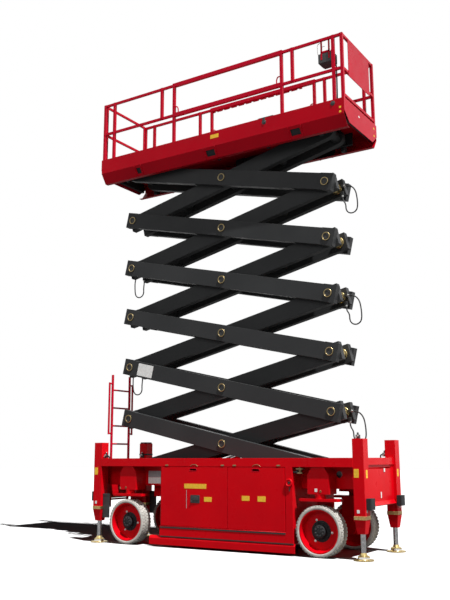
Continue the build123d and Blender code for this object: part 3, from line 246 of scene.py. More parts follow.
gold_zinc = Finish("gold_zinc", (0.26, 0.20, 0.095), 0.40, 1.0)
gold_zinc.rounded(0.002)
gold_zinc.patches(16, 4, 0.42, 0.68, (0.32, 0.26, 0.15))
gold_zinc.patches(55, 4, 0.58, 0.72, (0.30, 0.21, 0.11))
gold_zinc.gloss(gold_zinc.noise(40, 4), 0.26, 0.46)

bright_zinc = Finish("bright_zinc", (0.62, 0.62, 0.60), 0.30, 1.0)
bright_zinc.patches(70, 4, 0.50, 0.72, (0.45, 0.44, 0.42))
bright_zinc.gloss(bright_zinc.noise(60, 3), 0.24, 0.42)

# black of the pin bores, also laid on the sill and guard strips as painted shadow
bore_and_shadow_black = Finish("bore_and_shadow_black", (0.012, 0.012, 0.012), 0.60)
bore_and_shadow_black.patches(80, 4, 0.45, 0.70, (0.030, 0.029, 0.027))
bore_and_shadow_black.bump(bore_and_shadow_black.noise(300, 2), 0.2, 0.001)

pale_gold = Finish("pale_gold", (0.70, 0.55, 0.24), 0.30, 1.0)
pale_gold.patches(40, 4, 0.45, 0.70, (0.52, 0.38, 0.16))
pale_gold.gloss(pale_gold.noise(50, 3), 0.24, 0.44)


def printed_film(name, colour, shade):
    """Bare printed film, slightly mottled, with a low sheen."""
    film = Finish(name, colour, 0.45)
    film.patches(45, 4, 0.46, 0.72, shade)
    film.gloss(film.noise(30, 3), 0.38, 0.55)
    return film


yellow_film = printed_film("yellow_film", (0.86, 0.52, 0.035), (0.66, 0.36, 0.03))
white_film = printed_film("white_film", (0.80, 0.80, 0.78), (0.62, 0.62, 0.60))
grey_film = printed_film("grey_film", (0.36, 0.36, 0.37), (0.27, 0.27, 0.28))

soft_rubber = Finish("soft_rubber", (0.010, 0.010, 0.011), 0.62)
soft_rubber.patches(60, 4, 0.48, 0.72, (0.024, 0.023, 0.022))
soft_rubber.bump(soft_rubber.noise(500, 2), 0.15, 0.0006)

# by the start of a node's name; the longest fit counts, and the rest is body paint
NODE_FINISH = {"scissor": arm_paint, "hydraulic_fittings": case_plastic, "tyre": tyre_rubber,
               "jack_leg": chrome, "lift_cylinder_rod": chrome, "lift_cylinder_barrel": dark_paint,
               "battery_packs": case_plastic, "power_units": case_plastic, "bumpers": dark_paint,
               "control_box": case_plastic, "platform_rails": rail_paint,
               "platform": shaded_platform_paint, "platform_bearers": dark_paint,
               "front_extension": rail_paint, "rear_extension": rail_paint,
               "entry_gate": rail_paint, "ladder": rail_paint}
for node_name, node in nodes.items():
    fits = [key for key in NODE_FINISH if node_name.startswith(key)]
    finish = NODE_FINISH[max(fits, key=len)] if fits else body_paint
    node.data.materials.clear()
    node.data.materials.append(finish.material)


# ---------------------------------------------------------------- making and fitting pieces
def new_object(name, data):
    obj = bpy.data.objects.new(name, data)
    bpy.context.scene.collection.objects.link(obj)
    return obj


def plain_mesh(obj, name):
    """A modified object becomes a plain mesh object of that name."""
    graph = bpy.context.evaluated_depsgraph_get()
    mesh = bpy.data.meshes.new_from_object(obj.evaluated_get(graph))
    mesh.name = name
    bpy.data.objects.remove(obj)
    return new_object(name, mesh)


class Pattern:
    """A Geometry Nodes tree that repeats one small form, with named inputs for its sizes."""

    def __init__(self, name, **sizes):
        self.group = bpy.data.node_groups.new(name, "GeometryNodeTree")
        self.face = self.group.interface
        self.ids = {}
        self.input("Places", "Geometry")
        for size, value in sizes.items():
            self.input(size, "Int" if isinstance(value, int) else "Float", value)
        self.input("Form", "Object")
        self.input("Finish", "Material")
        self.face.new_socket("Result", in_out="OUTPUT", socket_type="NodeSocketGeometry")
        self.source = self.add("NodeGroupInput")
        self.result = self.add("NodeGroupOutput")

    def input(self, name, kind, value=None):
        socket = self.face.new_socket(name, in_out="INPUT", socket_type="NodeSocket" + kind)
        if value is not None:
            socket.default_value = value
        self.ids[name] = socket.identifier

    def add(self, kind, **settings):
        node = self.group.nodes.new(kind)
        for key, value in settings.items():
            setattr(node, key, value)
        return node

    def join(self, source, out, target, into):
        self.group.links.new(source.outputs[out], target.inputs[into])

    def size(self, name, target, into):
        self.join(self.source, name, target, into)

    def finish(self, points, out, turn, turn_out):
        """The form at every point, turned, made real and painted."""
        form = self.add("GeometryNodeObjectInfo")
        self.size("Form", form, "Object")
        spread = self.add("GeometryNodeInstanceOnPoints")
        self.join(points, out, spread, "Points")
        self.join(form, "Geometry", spread, "Instance")
        self.join(turn, turn_out, spread, "Rotation")
        if "Size" in self.ids:
            self.size("Size", spread, "Scale")
        real = self.add("GeometryNodeRealizeInstances")
        paint = self.add("GeometryNodeSetMaterial")
        self.join(spread, "Instances", real, "Geometry")
        self.join(real, "Geometry", paint, "Geometry")
        self.size("Finish", paint, "Material")
        self.join(paint, "Geometry", self.result, "Result")
        return self

    def make(self, name, body, slot, form, finish, places=None, move=None, **sizes):
        """One plain mesh of the pattern, put in place and fixed to a body."""
        marks = bpy.data.meshes.new(name + "_places")
        places = places or []
        marks.from_pydata([place[0] for place in places], [], [])
        facing = marks.attributes.new("facing", "FLOAT_VECTOR", "POINT")
        for mark, place in zip(facing.data, places):
            mark.vector = place[1]
        obj = new_object(name + "_source", marks)
        modifier = obj.modifiers.new("pattern", "NODES")
        modifier.node_group = self.group
        modifier[self.ids["Form"]] = form
        modifier[self.ids["Finish"]] = finish.material
        for size, value in sizes.items():
            modifier[self.ids[size]] = value
        piece = plain_mesh(obj, name)
        if move is not None:
            piece.data.transform(move)
        for attribute in [a for a in piece.data.attributes if a.name == "facing"]:
            piece.data.attributes.remove(attribute)
        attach(piece, body)
        return piece


def marked_pattern():
    """The form stands at marked points, its +Z turned to each mark's facing."""
    pattern = Pattern("form_at_marks", Size=1.0)
    facing = pattern.add("GeometryNodeInputNamedAttribute", data_type="FLOAT_VECTOR")
    facing.inputs["Name"].default_value = "facing"
    turn = pattern.add("FunctionNodeAlignRotationToVector", axis="Z")
    pattern.join(facing, "Attribute", turn, "Vector")
    return pattern.finish(pattern.source, "Places", turn, "Rotation")


def ring_pattern():
    """The form stands round a circle about +Z, its +X pointing outwards."""
    pattern = Pattern("form_round_circle", Count=8, Radius=1.0, Turn=0.0)
    circle = pattern.add("GeometryNodeCurvePrimitiveCircle", mode="RADIUS")
    pattern.size("Count", circle, "Resolution")
    pattern.size("Radius", circle, "Radius")
    points = pattern.add("GeometryNodeCurveToPoints", mode="EVALUATED")
    pattern.join(circle, "Curve", points, "Curve")
    swing = pattern.add("GeometryNodeTransform")
    pattern.join(points, "Points", swing, "Geometry")
    angle = pattern.add("ShaderNodeCombineXYZ")
    pattern.size("Turn", angle, "Z")
    euler = pattern.add("FunctionNodeEulerToRotation")
    pattern.join(angle, "Vector", euler, "Euler")
    pattern.join(euler, "Rotation", swing, "Rotation")
    place = pattern.add("GeometryNodeInputPosition")
    flat = pattern.add("ShaderNodeVectorMath", operation="MULTIPLY")
    flat.inputs[1].default_value = (1, 1, 0)
    pattern.join(place, "Position", flat, "Vector")
    turn = pattern.add("FunctionNodeAlignRotationToVector", axis="X", pivot_axis="Z")
    pattern.join(flat, "Vector", turn, "Vector")
    return pattern.finish(swing, "Geometry", turn, "Rotation")


MARKED = marked_pattern()
RINGED = ring_pattern()


# ---------------------------------------------------------------- small forms
forms = []


def form(name, shape):
    """A small shape kept aside for the patterns to repeat."""
    mesh = bpy.data.meshes.new(name)
    shape.to_mesh(mesh)
    shape.free()
    obj = new_object(name, mesh)
    forms.append(obj)
    return obj


def turned_shape(profile, sides):
    """A closed outline of (radius, height) turned about +Z; radius 0 closes a pole."""
    shape = bmesh.new()
    rings = []
    for radius, height in profile:
        if radius == 0:
            rings.append([shape.verts.new((0, 0, height))])
            continue
        steps = (math.tau * i / sides for i in range(sides))
        rings.append([shape.verts.new((radius * math.cos(a), radius * math.sin(a), height))
                      for a in steps])
    for low, high in zip(rings, rings[1:] + rings[:1]):
        if len(low) == 1 and len(high) == 1:
            continue
        for i in range(sides):
            j = (i + 1) % sides
            corners = [low[i % len(low)], low[j % len(low)], high[j % len(high)],
                       high[i % len(high)]]
            shape.faces.new(list(dict.fromkeys(corners)))
    bmesh.ops.recalc_face_normals(shape, faces=shape.faces)
    return shape


def block_shape(size, chamfer, taper=1.0):
    """A chamfered block standing on its base, its top narrowed by the taper."""
    shape = bmesh.new()
    bmesh.ops.create_cube(shape, size=1.0)
    for vert in shape.verts:
        narrow = taper if vert.co.z > 0 else 1.0
        vert.co = Vector((vert.co.x * size[0] * narrow, vert.co.y * size[1] * narrow,
                          (vert.co.z + 0.5) * size[2]))
    bmesh.ops.bevel(shape, geom=shape.edges[:], offset=chamfer, segments=2, profile=0.6,
                    affect="EDGES")
    return shape


# the corners of a square, in turn
SQUARE = ((-1, -1), (1, -1), (1, 1), (-1, 1))


def skin(shape, pairs):
    """Faces all round between the two rings of each pair."""
    for low, high in pairs:
        for i in range(len(low)):
            j = (i + 1) % len(low)
            shape.faces.new((low[i], low[j], high[j], high[i]))


def hoop_shape(width, depth, height, wall):
    """An open square band standing on its base, with softened outer edges."""
    shape = bmesh.new()
    soft = wall / 3
    rings = []
    for z, grow in ((0, -soft), (soft, 0), (height - soft, 0), (height, -soft),
                    (height, -wall), (0, -wall)):
        x, y = width / 2 + grow, depth / 2 + grow
        rings.append([shape.verts.new((sx * x, sy * y, z)) for sx, sy in SQUARE])
    skin(shape, zip(rings, rings[1:] + rings[:1]))
    return shape


def plate_shape(width, height, thickness, corner):
    """A flat plate with round corners: width on X, height on Y, its back at z 0."""
    shape = bmesh.new()
    outline = []
    for cx, cy, start in ((1, 1, 0), (-1, 1, 1), (-1, -1, 2), (1, -1, 3)):
        for step in range(5):
            angle = math.pi / 2 * (start + step / 4)
            outline.append((cx * (width / 2 - corner) + corner * math.cos(angle),
                            cy * (height / 2 - corner) + corner * math.sin(angle)))
    back = [shape.verts.new((x, y, 0)) for x, y in outline]
    rim = min(thickness / 3, corner / 2)
    front = [shape.verts.new((x, y, thickness - rim)) for x, y in outline]
    inset = [shape.verts.new((x * (1 - 2 * rim / width), y * (1 - 2 * rim / height), thickness))
             for x, y in outline]
    shape.faces.new(back[::-1])
    shape.faces.new(inset)
    skin(shape, ((back, front), (front, inset)))
    return shape


def tube_shape(points, radius, sides, closed=False):
    """A round bar or hose through the points, with flat ends unless closed."""
    shape = bmesh.new()
    count = len(points)
    rings = []
    normal = None
    for i, point in enumerate(points):
        before = points[i - 1] if i or closed else points[0]
        after = points[(i + 1) % count] if i + 1 < count or closed else points[-1]
        along = (after - before).normalized()
        if normal is None:
            normal = along.orthogonal().normalized()
        normal = (normal - along * normal.dot(along)).normalized()
        across = along.cross(normal)
        steps = (math.tau * k / sides for k in range(sides))
        rings.append([shape.verts.new(point + radius * (math.cos(a) * normal
                                                        + math.sin(a) * across))
                      for a in steps])
    pairs = list(zip(rings, rings[1:]))
    if closed:
        pairs.append((rings[-1], rings[0]))
    else:
        shape.faces.new(rings[0][::-1])
        shape.faces.new(rings[-1])
    skin(shape, pairs)
    bmesh.ops.recalc_face_normals(shape, faces=shape.faces)
    return shape


def smooth_path(points, steps):
    """Points of an even curve through the given ones."""
    points = [Vector(p) for p in points]
    count = len(points)
    path = []
    for i in range(count - 1):
        a, b, c, d = (points[min(max(i + k, 0), count - 1)] for k in (-1, 0, 1, 2))
        for step in range(steps):
            t = step / steps
            path.append(0.5 * ((2 * b) + (c - a) * t + (2 * a - 5 * b + 4 * c - d) * t * t
                               + (3 * b - a - 3 * c + d) * t ** 3))
    return path + [points[-1]]


def facing_frame(place, facing, up=(0, 0, 1)):
    """Turns a form's +Z to the facing and its +Y as near up as it goes, at a place."""
    z = Vector(facing).normalized()
    y = Vector(up)
    y = (y - z * y.dot(z)).normalized()
    turn = Matrix((y.cross(z), y, z)).transposed().to_4x4()
    return Matrix.Translation(place) @ turn


def piece(name, shape, finish, body, slot, place=None, smooth=False):
    """A single made shape, in place, fixed to its body."""
    mesh = bpy.data.meshes.new(name)
    shape.to_mesh(mesh)
    shape.free()
    if place is not None:
        mesh.transform(place)
    if smooth:
        mesh.shade_smooth()
    obj = new_object(name, mesh)
    mesh.materials.append(finish.material)
    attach(obj, body)
    return obj


def joined(shapes):
    """Several (shape, place) pairs as one."""
    whole = bmesh.new()
    for shape, place in shapes:
        mesh = bpy.data.meshes.new("part")
        if place is not None:
            shape.transform(place)
        shape.to_mesh(mesh)
        shape.free()
        whole.from_mesh(mesh)
        bpy.data.meshes.remove(mesh)
    return whole


def standing(size, chamfer, base):
    """A chamfered block standing at a base point, as a pair for joined."""
    return block_shape(size, chamfer), Matrix.Translation(base)


# ---------------------------------------------------------------- scissor stack
HUB_REACH = 0.0975
PLATE_ALONG = 0.300
PIN_RING = [(0.036, 0.000), (0.056, 0.000), (0.058, 0.002), (0.058, 0.007), (0.055, 0.010),
            (0.047, 0.0105), (0.044, 0.008), (0.042, 0.004), (0.036, 0.003)]
pin_ring = form("pin_ring", turned_shape(PIN_RING, 32))
PIN_BORE = [(0.0, 0.001), (0.043, 0.001), (0.043, 0.0055), (0.034, 0.0055), (0.028, 0.0035),
            (0.0, 0.0035)]
pin_bore = form("pin_bore", turned_shape(PIN_BORE, 24))
CIRCLIP = [(0.029, 0.006), (0.0345, 0.006), (0.0345, 0.0085), (0.029, 0.0085)]
circlip = form("circlip", turned_shape(CIRCLIP, 28))


def arm_point(level, rise, along, across=0.0):
    """A point on an arm's middle line, across it by so much, as (x, z)."""
    middle = BASE_PIN_Z + (level - 0.5) * LEVEL_HEIGHT
    c, s = math.cos(REST_ANGLE), rise * math.sin(REST_ANGLE)
    return STACK_X + along * c - across * s, middle + along * s + across * c


for level in range(1, LEVELS + 1):
    pins = []
    for along in (-ARM_PITCH / 2, 0, ARM_PITCH / 2):
        x, z = arm_point(level, -1, along)
        for side, _ in SIDES:
            if level == 1 and along > 0 or level == LEVELS and along < 0:
                continue
            pins.append(((x, side * SHAFT_FACE, z), (0, side, 0)))
    body = f"outer_arms_{level}"
    MARKED.make(f"pin_rings_{level}", body, "chrome_rod", pin_ring, gold_zinc, pins)
    MARKED.make(f"pin_bores_{level}", body, "black_case", pin_bore, bore_and_shadow_black, pins)
    MARKED.make(f"circlips_{level}", body, "black_case", circlip, case_plastic, pins)

# a pale gold sleeve on each inner arm's front hub: its bright gold is a painted highlight on the
# hub
for level in range(1, LEVELS):
    x, z = arm_point(level, 1, ARM_PITCH / 2)
    profile = [(0.070, -HUB_REACH), (0.0765, -HUB_REACH), (0.0765, -HUB_REACH + 0.014),
               (0.0735, -HUB_REACH + 0.018), (0.0735, HUB_REACH - 0.018),
               (0.0765, HUB_REACH - 0.014), (0.0765, HUB_REACH), (0.070, HUB_REACH)]
    piece(f"hub_sleeve_{level}", turned_shape(profile, 40), pale_gold, f"inner_arms_{level}",
          "chrome_rod", facing_frame((x, 0, z), (0, -1, 0)))

# blank plate beside the second level's left pin
plate_x, plate_z = arm_point(2, -1, -ARM_PITCH / 2 + PLATE_ALONG)
arm_up = (math.sin(REST_ANGLE), 0, math.cos(REST_ANGLE))
piece("arm_plate", plate_shape(0.28, 0.180, 0.002, 0.008), white_film, "outer_arms_2", "black_case",
      facing_frame((plate_x, -OUTER_FACE, plate_z), (0, -1, 0), arm_up))

# cable loops between the inner beams: inner arm, its end, then the route from its pin
CABLE_LOOPS = ((1, 1), (3, -1), (3, 1), (5, -1), (5, 1))
CABLE_Y = 0.078
CABLE_DIAMETER = 0.018
LOOP_AT_RIGHT = ((0.115, 0.020), (0.195, 0.020), (0.280, -0.055), (0.305, -0.200), (0.305, -0.330),
                 (0.255, -0.380), (0.185, -0.380), (0.135, -0.330), (0.135, -0.235),
                 (0.090, -0.175), (0.090, -0.110))
LOOP_AT_LEFT = ((-0.115, -0.020), (-0.165, -0.020), (-0.210, -0.050), (-0.235, -0.120),
                (-0.235, -0.220), (-0.225, -0.330), (-0.175, -0.380), (-0.105, -0.380),
                (-0.055, -0.330), (-0.060, -0.240), (-0.050, -0.175), (-0.050, -0.115))


def cable(index, level, end):
    """One hanging loop, drawn round as a curve, with its two glands."""
    x = PIN_FRONT if end > 0 else PIN_REAR
    z = BASE_PIN_Z + (level if end > 0 else level - 1) * LEVEL_HEIGHT
    route = LOOP_AT_RIGHT if end > 0 else LOOP_AT_LEFT
    points = [Vector((x + dx, CABLE_Y, z + dz)) for dx, dz in route]
    curve = bpy.data.curves.new(f"cable_{index}", "CURVE")
    curve.dimensions = "3D"
    curve.bevel_depth = CABLE_DIAMETER / 2
    curve.bevel_resolution = 5
    curve.resolution_u = curve.render_resolution_u = 12
    curve.use_fill_caps = True
    spline = curve.splines.new("NURBS")
    spline.points.add(len(points) - 1)
    for target, point in zip(spline.points, points):
        target.co = (*point, 1)
    spline.order_u = 3
    spline.use_endpoint_u = True
    curve.materials.append(soft_rubber.material)
    obj = bpy.data.objects.new(f"cable_{index}", curve)
    bpy.context.scene.collection.objects.link(obj)
    body = f"inner_arms_{level}"
    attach(obj, body)
    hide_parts(f"cable_loop_{index}")
    glands = [(tuple(points[0]), tuple(points[0] - points[1])),
              (tuple(points[-1]), tuple(points[-1] - points[-2]))]
    MARKED.make(f"cable_glands_{index}", body, "chrome_rod", gland, bright_zinc, glands)


GLAND = [(0.0095, -0.022), (0.0135, -0.022), (0.0150, -0.018), (0.0150, -0.004), (0.0180, -0.003),
         (0.0180, 0.004), (0.0095, 0.004)]
gland = form("cable_gland", turned_shape(GLAND, 18))
for index, (level, end) in enumerate(CABLE_LOOPS, start=1):
    cable(index, level, end)

# ---------------------------------------------------------------- levelling jacks
PAD = [(0.0315, 0.0890), (0.0340, 0.0885), (0.0430, 0.0635), (0.0635, 0.0530), (0.0650, 0.0300),
       (0.0760, 0.0210), (0.1190, 0.0130), (0.1195, 0.0010), (0.0315, 0.0010)]
pad_rib = form("pad_rib", block_shape((0.010, 0.006, 0.022), 0.0015))
HEX_HEAD = [(0.0, 0.010), (0.0085, 0.010), (0.0100, 0.0085), (0.0100, 0.0015), (0.0150, 0.0015),
            (0.0150, 0.0), (0.0, 0.0)]
hex_head = form("hex_head", turned_shape(HEX_HEAD, 6))

for end, side, corner in CORNERS:
    x, y = end * POST_X, side * POST_Y
    rise = Matrix.Translation((x, y, 0))
    piece(f"jack_pad_{corner}", turned_shape(PAD, 56), pale_gold, f"jack_{corner}", "chrome_rod",
          rise)
    RINGED.make(f"pad_ribs_{corner}", f"jack_{corner}", "chrome_rod", pad_rib, pale_gold,
                move=rise @ Matrix.Translation((0, 0, 0.029)), Count=26, Radius=0.064)
    hoops = [(hoop_shape(0.150, 0.157, 0.012, 0.007), Matrix.Translation((x, y, z)))
             for z in (0.462, 0.4765, 0.491)]
    piece(f"collar_{corner}", joined(hoops), pale_gold, "chassis", "chrome_rod")


FILM_THICKNESS = 0.0015
FILM_CORNER = 0.004


def label(name, body, finish, place, facing, width, height):
    """A bare plate or film, stuck flat on a face."""
    piece(name, plate_shape(width, height, FILM_THICKNESS, FILM_CORNER), finish, body, "black_case",
          facing_frame(place, facing))


POST_FACE = POST_Y + 0.0725
for end, side, corner in CORNERS:
    x, y = end * POST_X, side * POST_FACE
    label(f"post_label_{corner}", "chassis", yellow_film, (x - 0.028, y, 0.995), (0, side, 0),
          0.062, 0.100)
    label(f"post_label_end_{corner}", "chassis", yellow_film,
          (end * (POST_X + 0.070), side * (POST_Y - 0.010), 0.985), (end, 0, 0), 0.050, 0.095)
    # the white dots are painted glints of bolt heads on the post
    label(f"post_dot_{corner}", "chassis", white_film, (x - 0.018, y, 0.556), (0, side, 0),
          0.034, 0.038)
    label(f"post_dot_end_{corner}", "chassis", white_film,
          (end * (POST_X + 0.070), side * (POST_Y + 0.020), 0.560), (end, 0, 0), 0.030, 0.034)

# silver unions on the valve blocks
UNION = [(0.0, 0.030), (0.007, 0.030), (0.008, 0.012), (0.0125, 0.011), (0.0125, 0.0), (0.0, 0.0)]
union = form("hose_union", turned_shape(UNION, 6))
VALVES = ((-1, -1, 0.092, 0.0, 1.185), (-1, 1, 0.0, 0.0945, 1.190), (1, 1, 0.092, 0.030, 1.190),
          (1, -1, 0.030, 0.020, 1.400))
VALVE_HALF = 0.022
unions = []
caps = []
for end, side, in_x, in_y, z in VALVES:
    x, y = end * (POST_X - in_x), side * (POST_Y - in_y)
    unions.append(((x - 0.010, y - VALVE_HALF, z + 0.014), (0, -1, 0)))
    unions.append(((x + 0.011, y - VALVE_HALF, z + 0.035), (0, -1, 0)))
    caps.append(((x, y, z + 0.070), (0, 0, 1)))
MARKED.make("hose_unions", "chassis", "chrome_rod", union, bright_zinc, unions)
MARKED.make("valve_caps", "chassis", "chrome_rod", hex_head, bright_zinc, caps)

# ---------------------------------------------------------------- wheels
RIM_R, TYRE_HALF = 0.258, 0.095
CARCASS = [(RIM_R, -TYRE_HALF + 0.008), (RIM_R + 0.006, -TYRE_HALF + 0.002),
           (0.272, -TYRE_HALF), (0.287, -TYRE_HALF + 0.001), (0.2945, -TYRE_HALF + 0.009),
           (0.2975, -TYRE_HALF + 0.020), (0.2975, TYRE_HALF - 0.020), (0.2945, TYRE_HALF - 0.009),
           (0.287, TYRE_HALF - 0.001), (0.272, TYRE_HALF), (RIM_R + 0.006, TYRE_HALF - 0.002),
           (RIM_R, TYRE_HALF - 0.008)]
LUG_COUNT = 44
LUG_ROWS = ((-0.066, 0.0, 0.046), (-0.022, 0.5, 0.034), (0.022, 0.0, 0.034), (0.066, 0.5, 0.046))
HUB_CAP = [(0.0, 0.0655), (0.022, 0.0655), (0.026, 0.063), (0.030, 0.063), (0.032, 0.0615),
           (0.068, 0.0615), (0.0775, 0.053), (0.0775, 0.008), (0.086, 0.006), (0.122, 0.004),
           (0.127, 0.002), (0.127, 0.0), (0.0, 0.0)]
DISH_FACE = WHEEL_Y + TYRE_HALF - 0.092
wheel_bolt = form("wheel_bolt", turned_shape([(0.0, 0.014), (0.007, 0.014), (0.008, 0.010),
                                              (0.012, 0.009), (0.012, 0.001), (0.016, 0.0),
                                              (0.0, 0.0)], 6))
for end, side, corner in CORNERS:
    axle = facing_frame((end * WHEEL_X, side * WHEEL_Y, WHEEL_Z), (0, side, 0))
    carcass = turned_shape(CARCASS, 96)
    stand_out = Matrix.Rotation(math.pi / 2, 4, "Y") @ Matrix.Rotation(math.pi / 2, 4, "Z")
    lugs = [(carcass, None)]
    for across, phase, width in LUG_ROWS:
        for i in range(LUG_COUNT):
            angle = math.tau * (i + phase) / LUG_COUNT
            turn = Matrix.Rotation(angle, 4, "Z") @ Matrix.Translation((0.2965, 0, across))
            lugs.append((block_shape((0.030, width, 0.0082), 0.0025, 0.92),
                         turn @ stand_out))
    tyre = piece(f"tread_{corner}", joined(lugs), tyre_rubber, f"wheel_{corner}", "grey_tyre", axle)
    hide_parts(f"tyre_{corner}")
    face = Matrix.Translation((0, 0, DISH_FACE - WHEEL_Y))
    piece(f"hub_cap_{corner}", turned_shape(HUB_CAP, 48), dark_paint, f"wheel_{corner}",
          "dark_steel", axle @ face)
    ring = axle @ face @ Matrix.Translation((0, 0, 0.004))
    RINGED.make(f"wheel_bolts_{corner}", f"wheel_{corner}", "dark_steel", wheel_bolt, dark_paint,
                move=ring, Count=10, Radius=0.104)
    RINGED.make(f"hub_bolts_{corner}", f"wheel_{corner}", "dark_steel", hex_head, case_plastic,
                move=axle @ face @ Matrix.Translation((0, 0, 0.0605)), Count=8, Radius=0.050,
                Turn=0.3)
    RINGED.make(f"bright_bolts_{corner}", f"wheel_{corner}", "chrome_rod", wheel_bolt, bright_zinc,
                move=axle @ face, Count=2, Radius=0.142, Turn=2.0)

# ---------------------------------------------------------------- doors, sills and chassis fittings
DOOR_FACE = 0.600
SEAM_X = 0.200
HAND_HOLE_Z = 1.024
HAND_HOLES = ((-0.344, "rear"), (0.624, "front"))
DOOR_LABELS = ((-0.308, 0.809, 0.356, 0.062), (-0.105, 0.6435, 0.120, 0.060),
               (0.4745, 0.671, 0.115, 0.060), (0.7095, 0.668, 0.117, 0.066))
LOCK_BARREL = [(0.0, 0.014), (0.010, 0.014), (0.012, 0.012), (0.012, 0.0), (0.0, 0.0)]
STAY_LUGS = (-0.780, 0.124, 0.310, 0.959)
STAY_LUG_Z = 1.082
BEAM_LIP = ((-0.056, 1.070), (-0.040, 1.085), (0.0, 1.093), (0.040, 1.085), (0.056, 1.070))
SPOOL = [(0.0, 0.048), (0.024, 0.048), (0.026, 0.034), (0.060, 0.033), (0.063, 0.030),
         (0.063, 0.020), (0.060, 0.017), (0.030, 0.014), (0.026, -0.010), (0.030, -0.016),
         (0.046, -0.018), (0.047, -0.030), (0.040, -0.034), (0.0, -0.034)]
KNOB = [(0.0, 0.014), (0.017, 0.015), (0.021, 0.010), (0.028, 0.009), (0.033, 0.022),
        (0.040, 0.026), (0.047, 0.022), (0.050, 0.012), (0.048, 0.0), (0.0, 0.0)]
KNOB_EYE = [(0.0, 0.019), (0.013, 0.019), (0.016, 0.016), (0.016, 0.012), (0.0, 0.012)]
KNOB_X, KNOB_Z = 1.110, 0.874
WASHER = [(0.007, 0.0), (0.014, 0.0), (0.014, 0.004), (0.012, 0.006), (0.007, 0.006)]
WASHERS = ((1.517, 0.775), (-1.625, 0.765), (-1.520, 0.772))
HOUSING_FACE = 0.570
INNER_FACE = 0.3505
FLAP_X, FLAP_Y, FLAP_Z = -1.895, 0.548, 0.345
washer = form("washer", turned_shape(WASHER, 20))


def slot_outline(x, z, half, radius, y):
    """Points round a slot with half-round ends."""
    return [Vector((x + half * end + radius * math.cos(a), y, z + radius * math.sin(a)))
            for end, start in ((1, -90), (-1, 90))
            for a in (math.radians(start + 30 * k) for k in range(7))]


for side, side_name in SIDES:
    face = side * DOOR_FACE
    out = (0, side, 0)
    for number, (x, z, width, height) in enumerate(DOOR_LABELS, start=1):
        door = "rear" if x < SEAM_X else "front"
        label(f"door_label_{side_name}_{number}", f"door_{door}_{side_name}", yellow_film,
              (x, face, z), out, width, height)
    # rolled rim of each hand hole, and the lip of the beam above it, made gold as a painted glint
    for x, door in HAND_HOLES:
        rim = slot_outline(x, HAND_HOLE_Z, 0.042, 0.016, face)
        piece(f"hand_hole_rim_{door}_{side_name}", tube_shape(rim, 0.003, 8, True), rail_paint,
              f"door_{door}_{side_name}", "body_red", smooth=True)
        arc = smooth_path([(x + 0.014 + dx, face + side * 0.001, z) for dx, z in BEAM_LIP], 5)
        piece(f"beam_lip_{door}_{side_name}", tube_shape(arc, 0.004, 8), gold_zinc, "chassis",
              "chrome_rod", smooth=True)
    # paddle lock of the rear door, with the thin seal beside it
    lock = facing_frame((-0.309, face, 0.643), out)
    paddle = [(plate_shape(0.150, 0.104, 0.004, 0.012), lock),
              (block_shape((0.092, 0.050, 0.012), 0.004, 0.92),
               lock @ Matrix.Translation((0.010, 0.006, 0.003))),
              (turned_shape(LOCK_BARREL, 20), lock @ Matrix.Translation((-0.052, -0.030, 0.003)))]
    piece(f"door_lock_{side_name}", joined(paddle), case_plastic, f"door_rear_{side_name}",
          "black_case")
    piece(f"door_seal_{side_name}", block_shape((0.006, 0.238, 0.003), 0.001), grey_film,
          f"door_rear_{side_name}", "black_case", facing_frame((-0.448, face, 0.639), out))
    # black strips under the doors and under the sill as painted shadow of the grooves there, and
    # the rolled lip between
    piece(f"sill_strip_{side_name}", block_shape((1.930, 0.018, 0.005), 0.002), bore_and_shadow_black,
          "chassis", "black_case", facing_frame((0.080, face, 0.261), out))
    piece(f"guard_strip_{side_name}", block_shape((2.030, 0.014, 0.010), 0.003), bore_and_shadow_black,
          "chassis", "black_case", facing_frame((0.135, side * 0.590, 0.143), out))
    lip = [Vector((x, side * (DOOR_FACE + 0.001), 0.2765)) for x in (-0.880, 1.045)]
    piece(f"sill_lip_{side_name}", tube_shape(lip, 0.0035, 10), body_paint, "chassis", "body_red",
          smooth=True)
    lugs = [(block_shape((0.050, 0.018, 0.006), 0.003), facing_frame((x, face, STAY_LUG_Z), out))
            for x in STAY_LUGS]
    piece(f"stay_lugs_{side_name}", joined(lugs), gold_zinc, "chassis", "chrome_rod")
    # spool valve and stop knob at the front of the cabinet
    piece(f"spool_valve_{side_name}", turned_shape(SPOOL, 36), gold_zinc, "chassis", "chrome_rod",
          Matrix.Translation((1.228, side * 0.535, 1.017)))
    knob = facing_frame((KNOB_X, face, KNOB_Z), out)
    piece(f"stop_knob_{side_name}", turned_shape(KNOB, 32), body_paint, "chassis", "body_red",
          knob, smooth=True)
    piece(f"knob_eye_{side_name}", turned_shape(KNOB_EYE, 20), case_plastic, "chassis",
          "black_case", knob)
    stem = smooth_path([(KNOB_X, side * (DOOR_FACE + 0.004), z) for z in (0.826, 0.800, 0.770)], 4)
    piece(f"knob_stem_{side_name}", tube_shape(stem, 0.007, 10), case_plastic, "chassis",
          "black_case", smooth=True)
    MARKED.make(f"housing_washers_{side_name}", "chassis", "chrome_rod", washer, gold_zinc,
                [((x, side * HOUSING_FACE, z), out) for x, z in WASHERS])
    # rubber splash flap on the rear post, its steel angle along the top
    flap = [standing((0.125, 0.008, 0.330), 0.003, (FLAP_X, side * FLAP_Y, FLAP_Z)),
            standing((0.125, 0.016, 0.030), 0.003, (FLAP_X, side * FLAP_Y, FLAP_Z + 0.305))]
    piece(f"splash_flap_{side_name}", joined(flap), case_plastic, "chassis", "black_case")

piece("post_cap_rear_left", block_shape((0.132, 0.138, 0.022), 0.008, 0.92), dark_paint,
      "chassis", "dark_steel", Matrix.Translation((-POST_X, POST_Y, 1.399)))
piece("post_band_rear_left", hoop_shape(0.148, 0.153, 0.022, 0.006), dark_paint, "chassis",
      "dark_steel", Matrix.Translation((-POST_X, POST_Y, 1.222)))

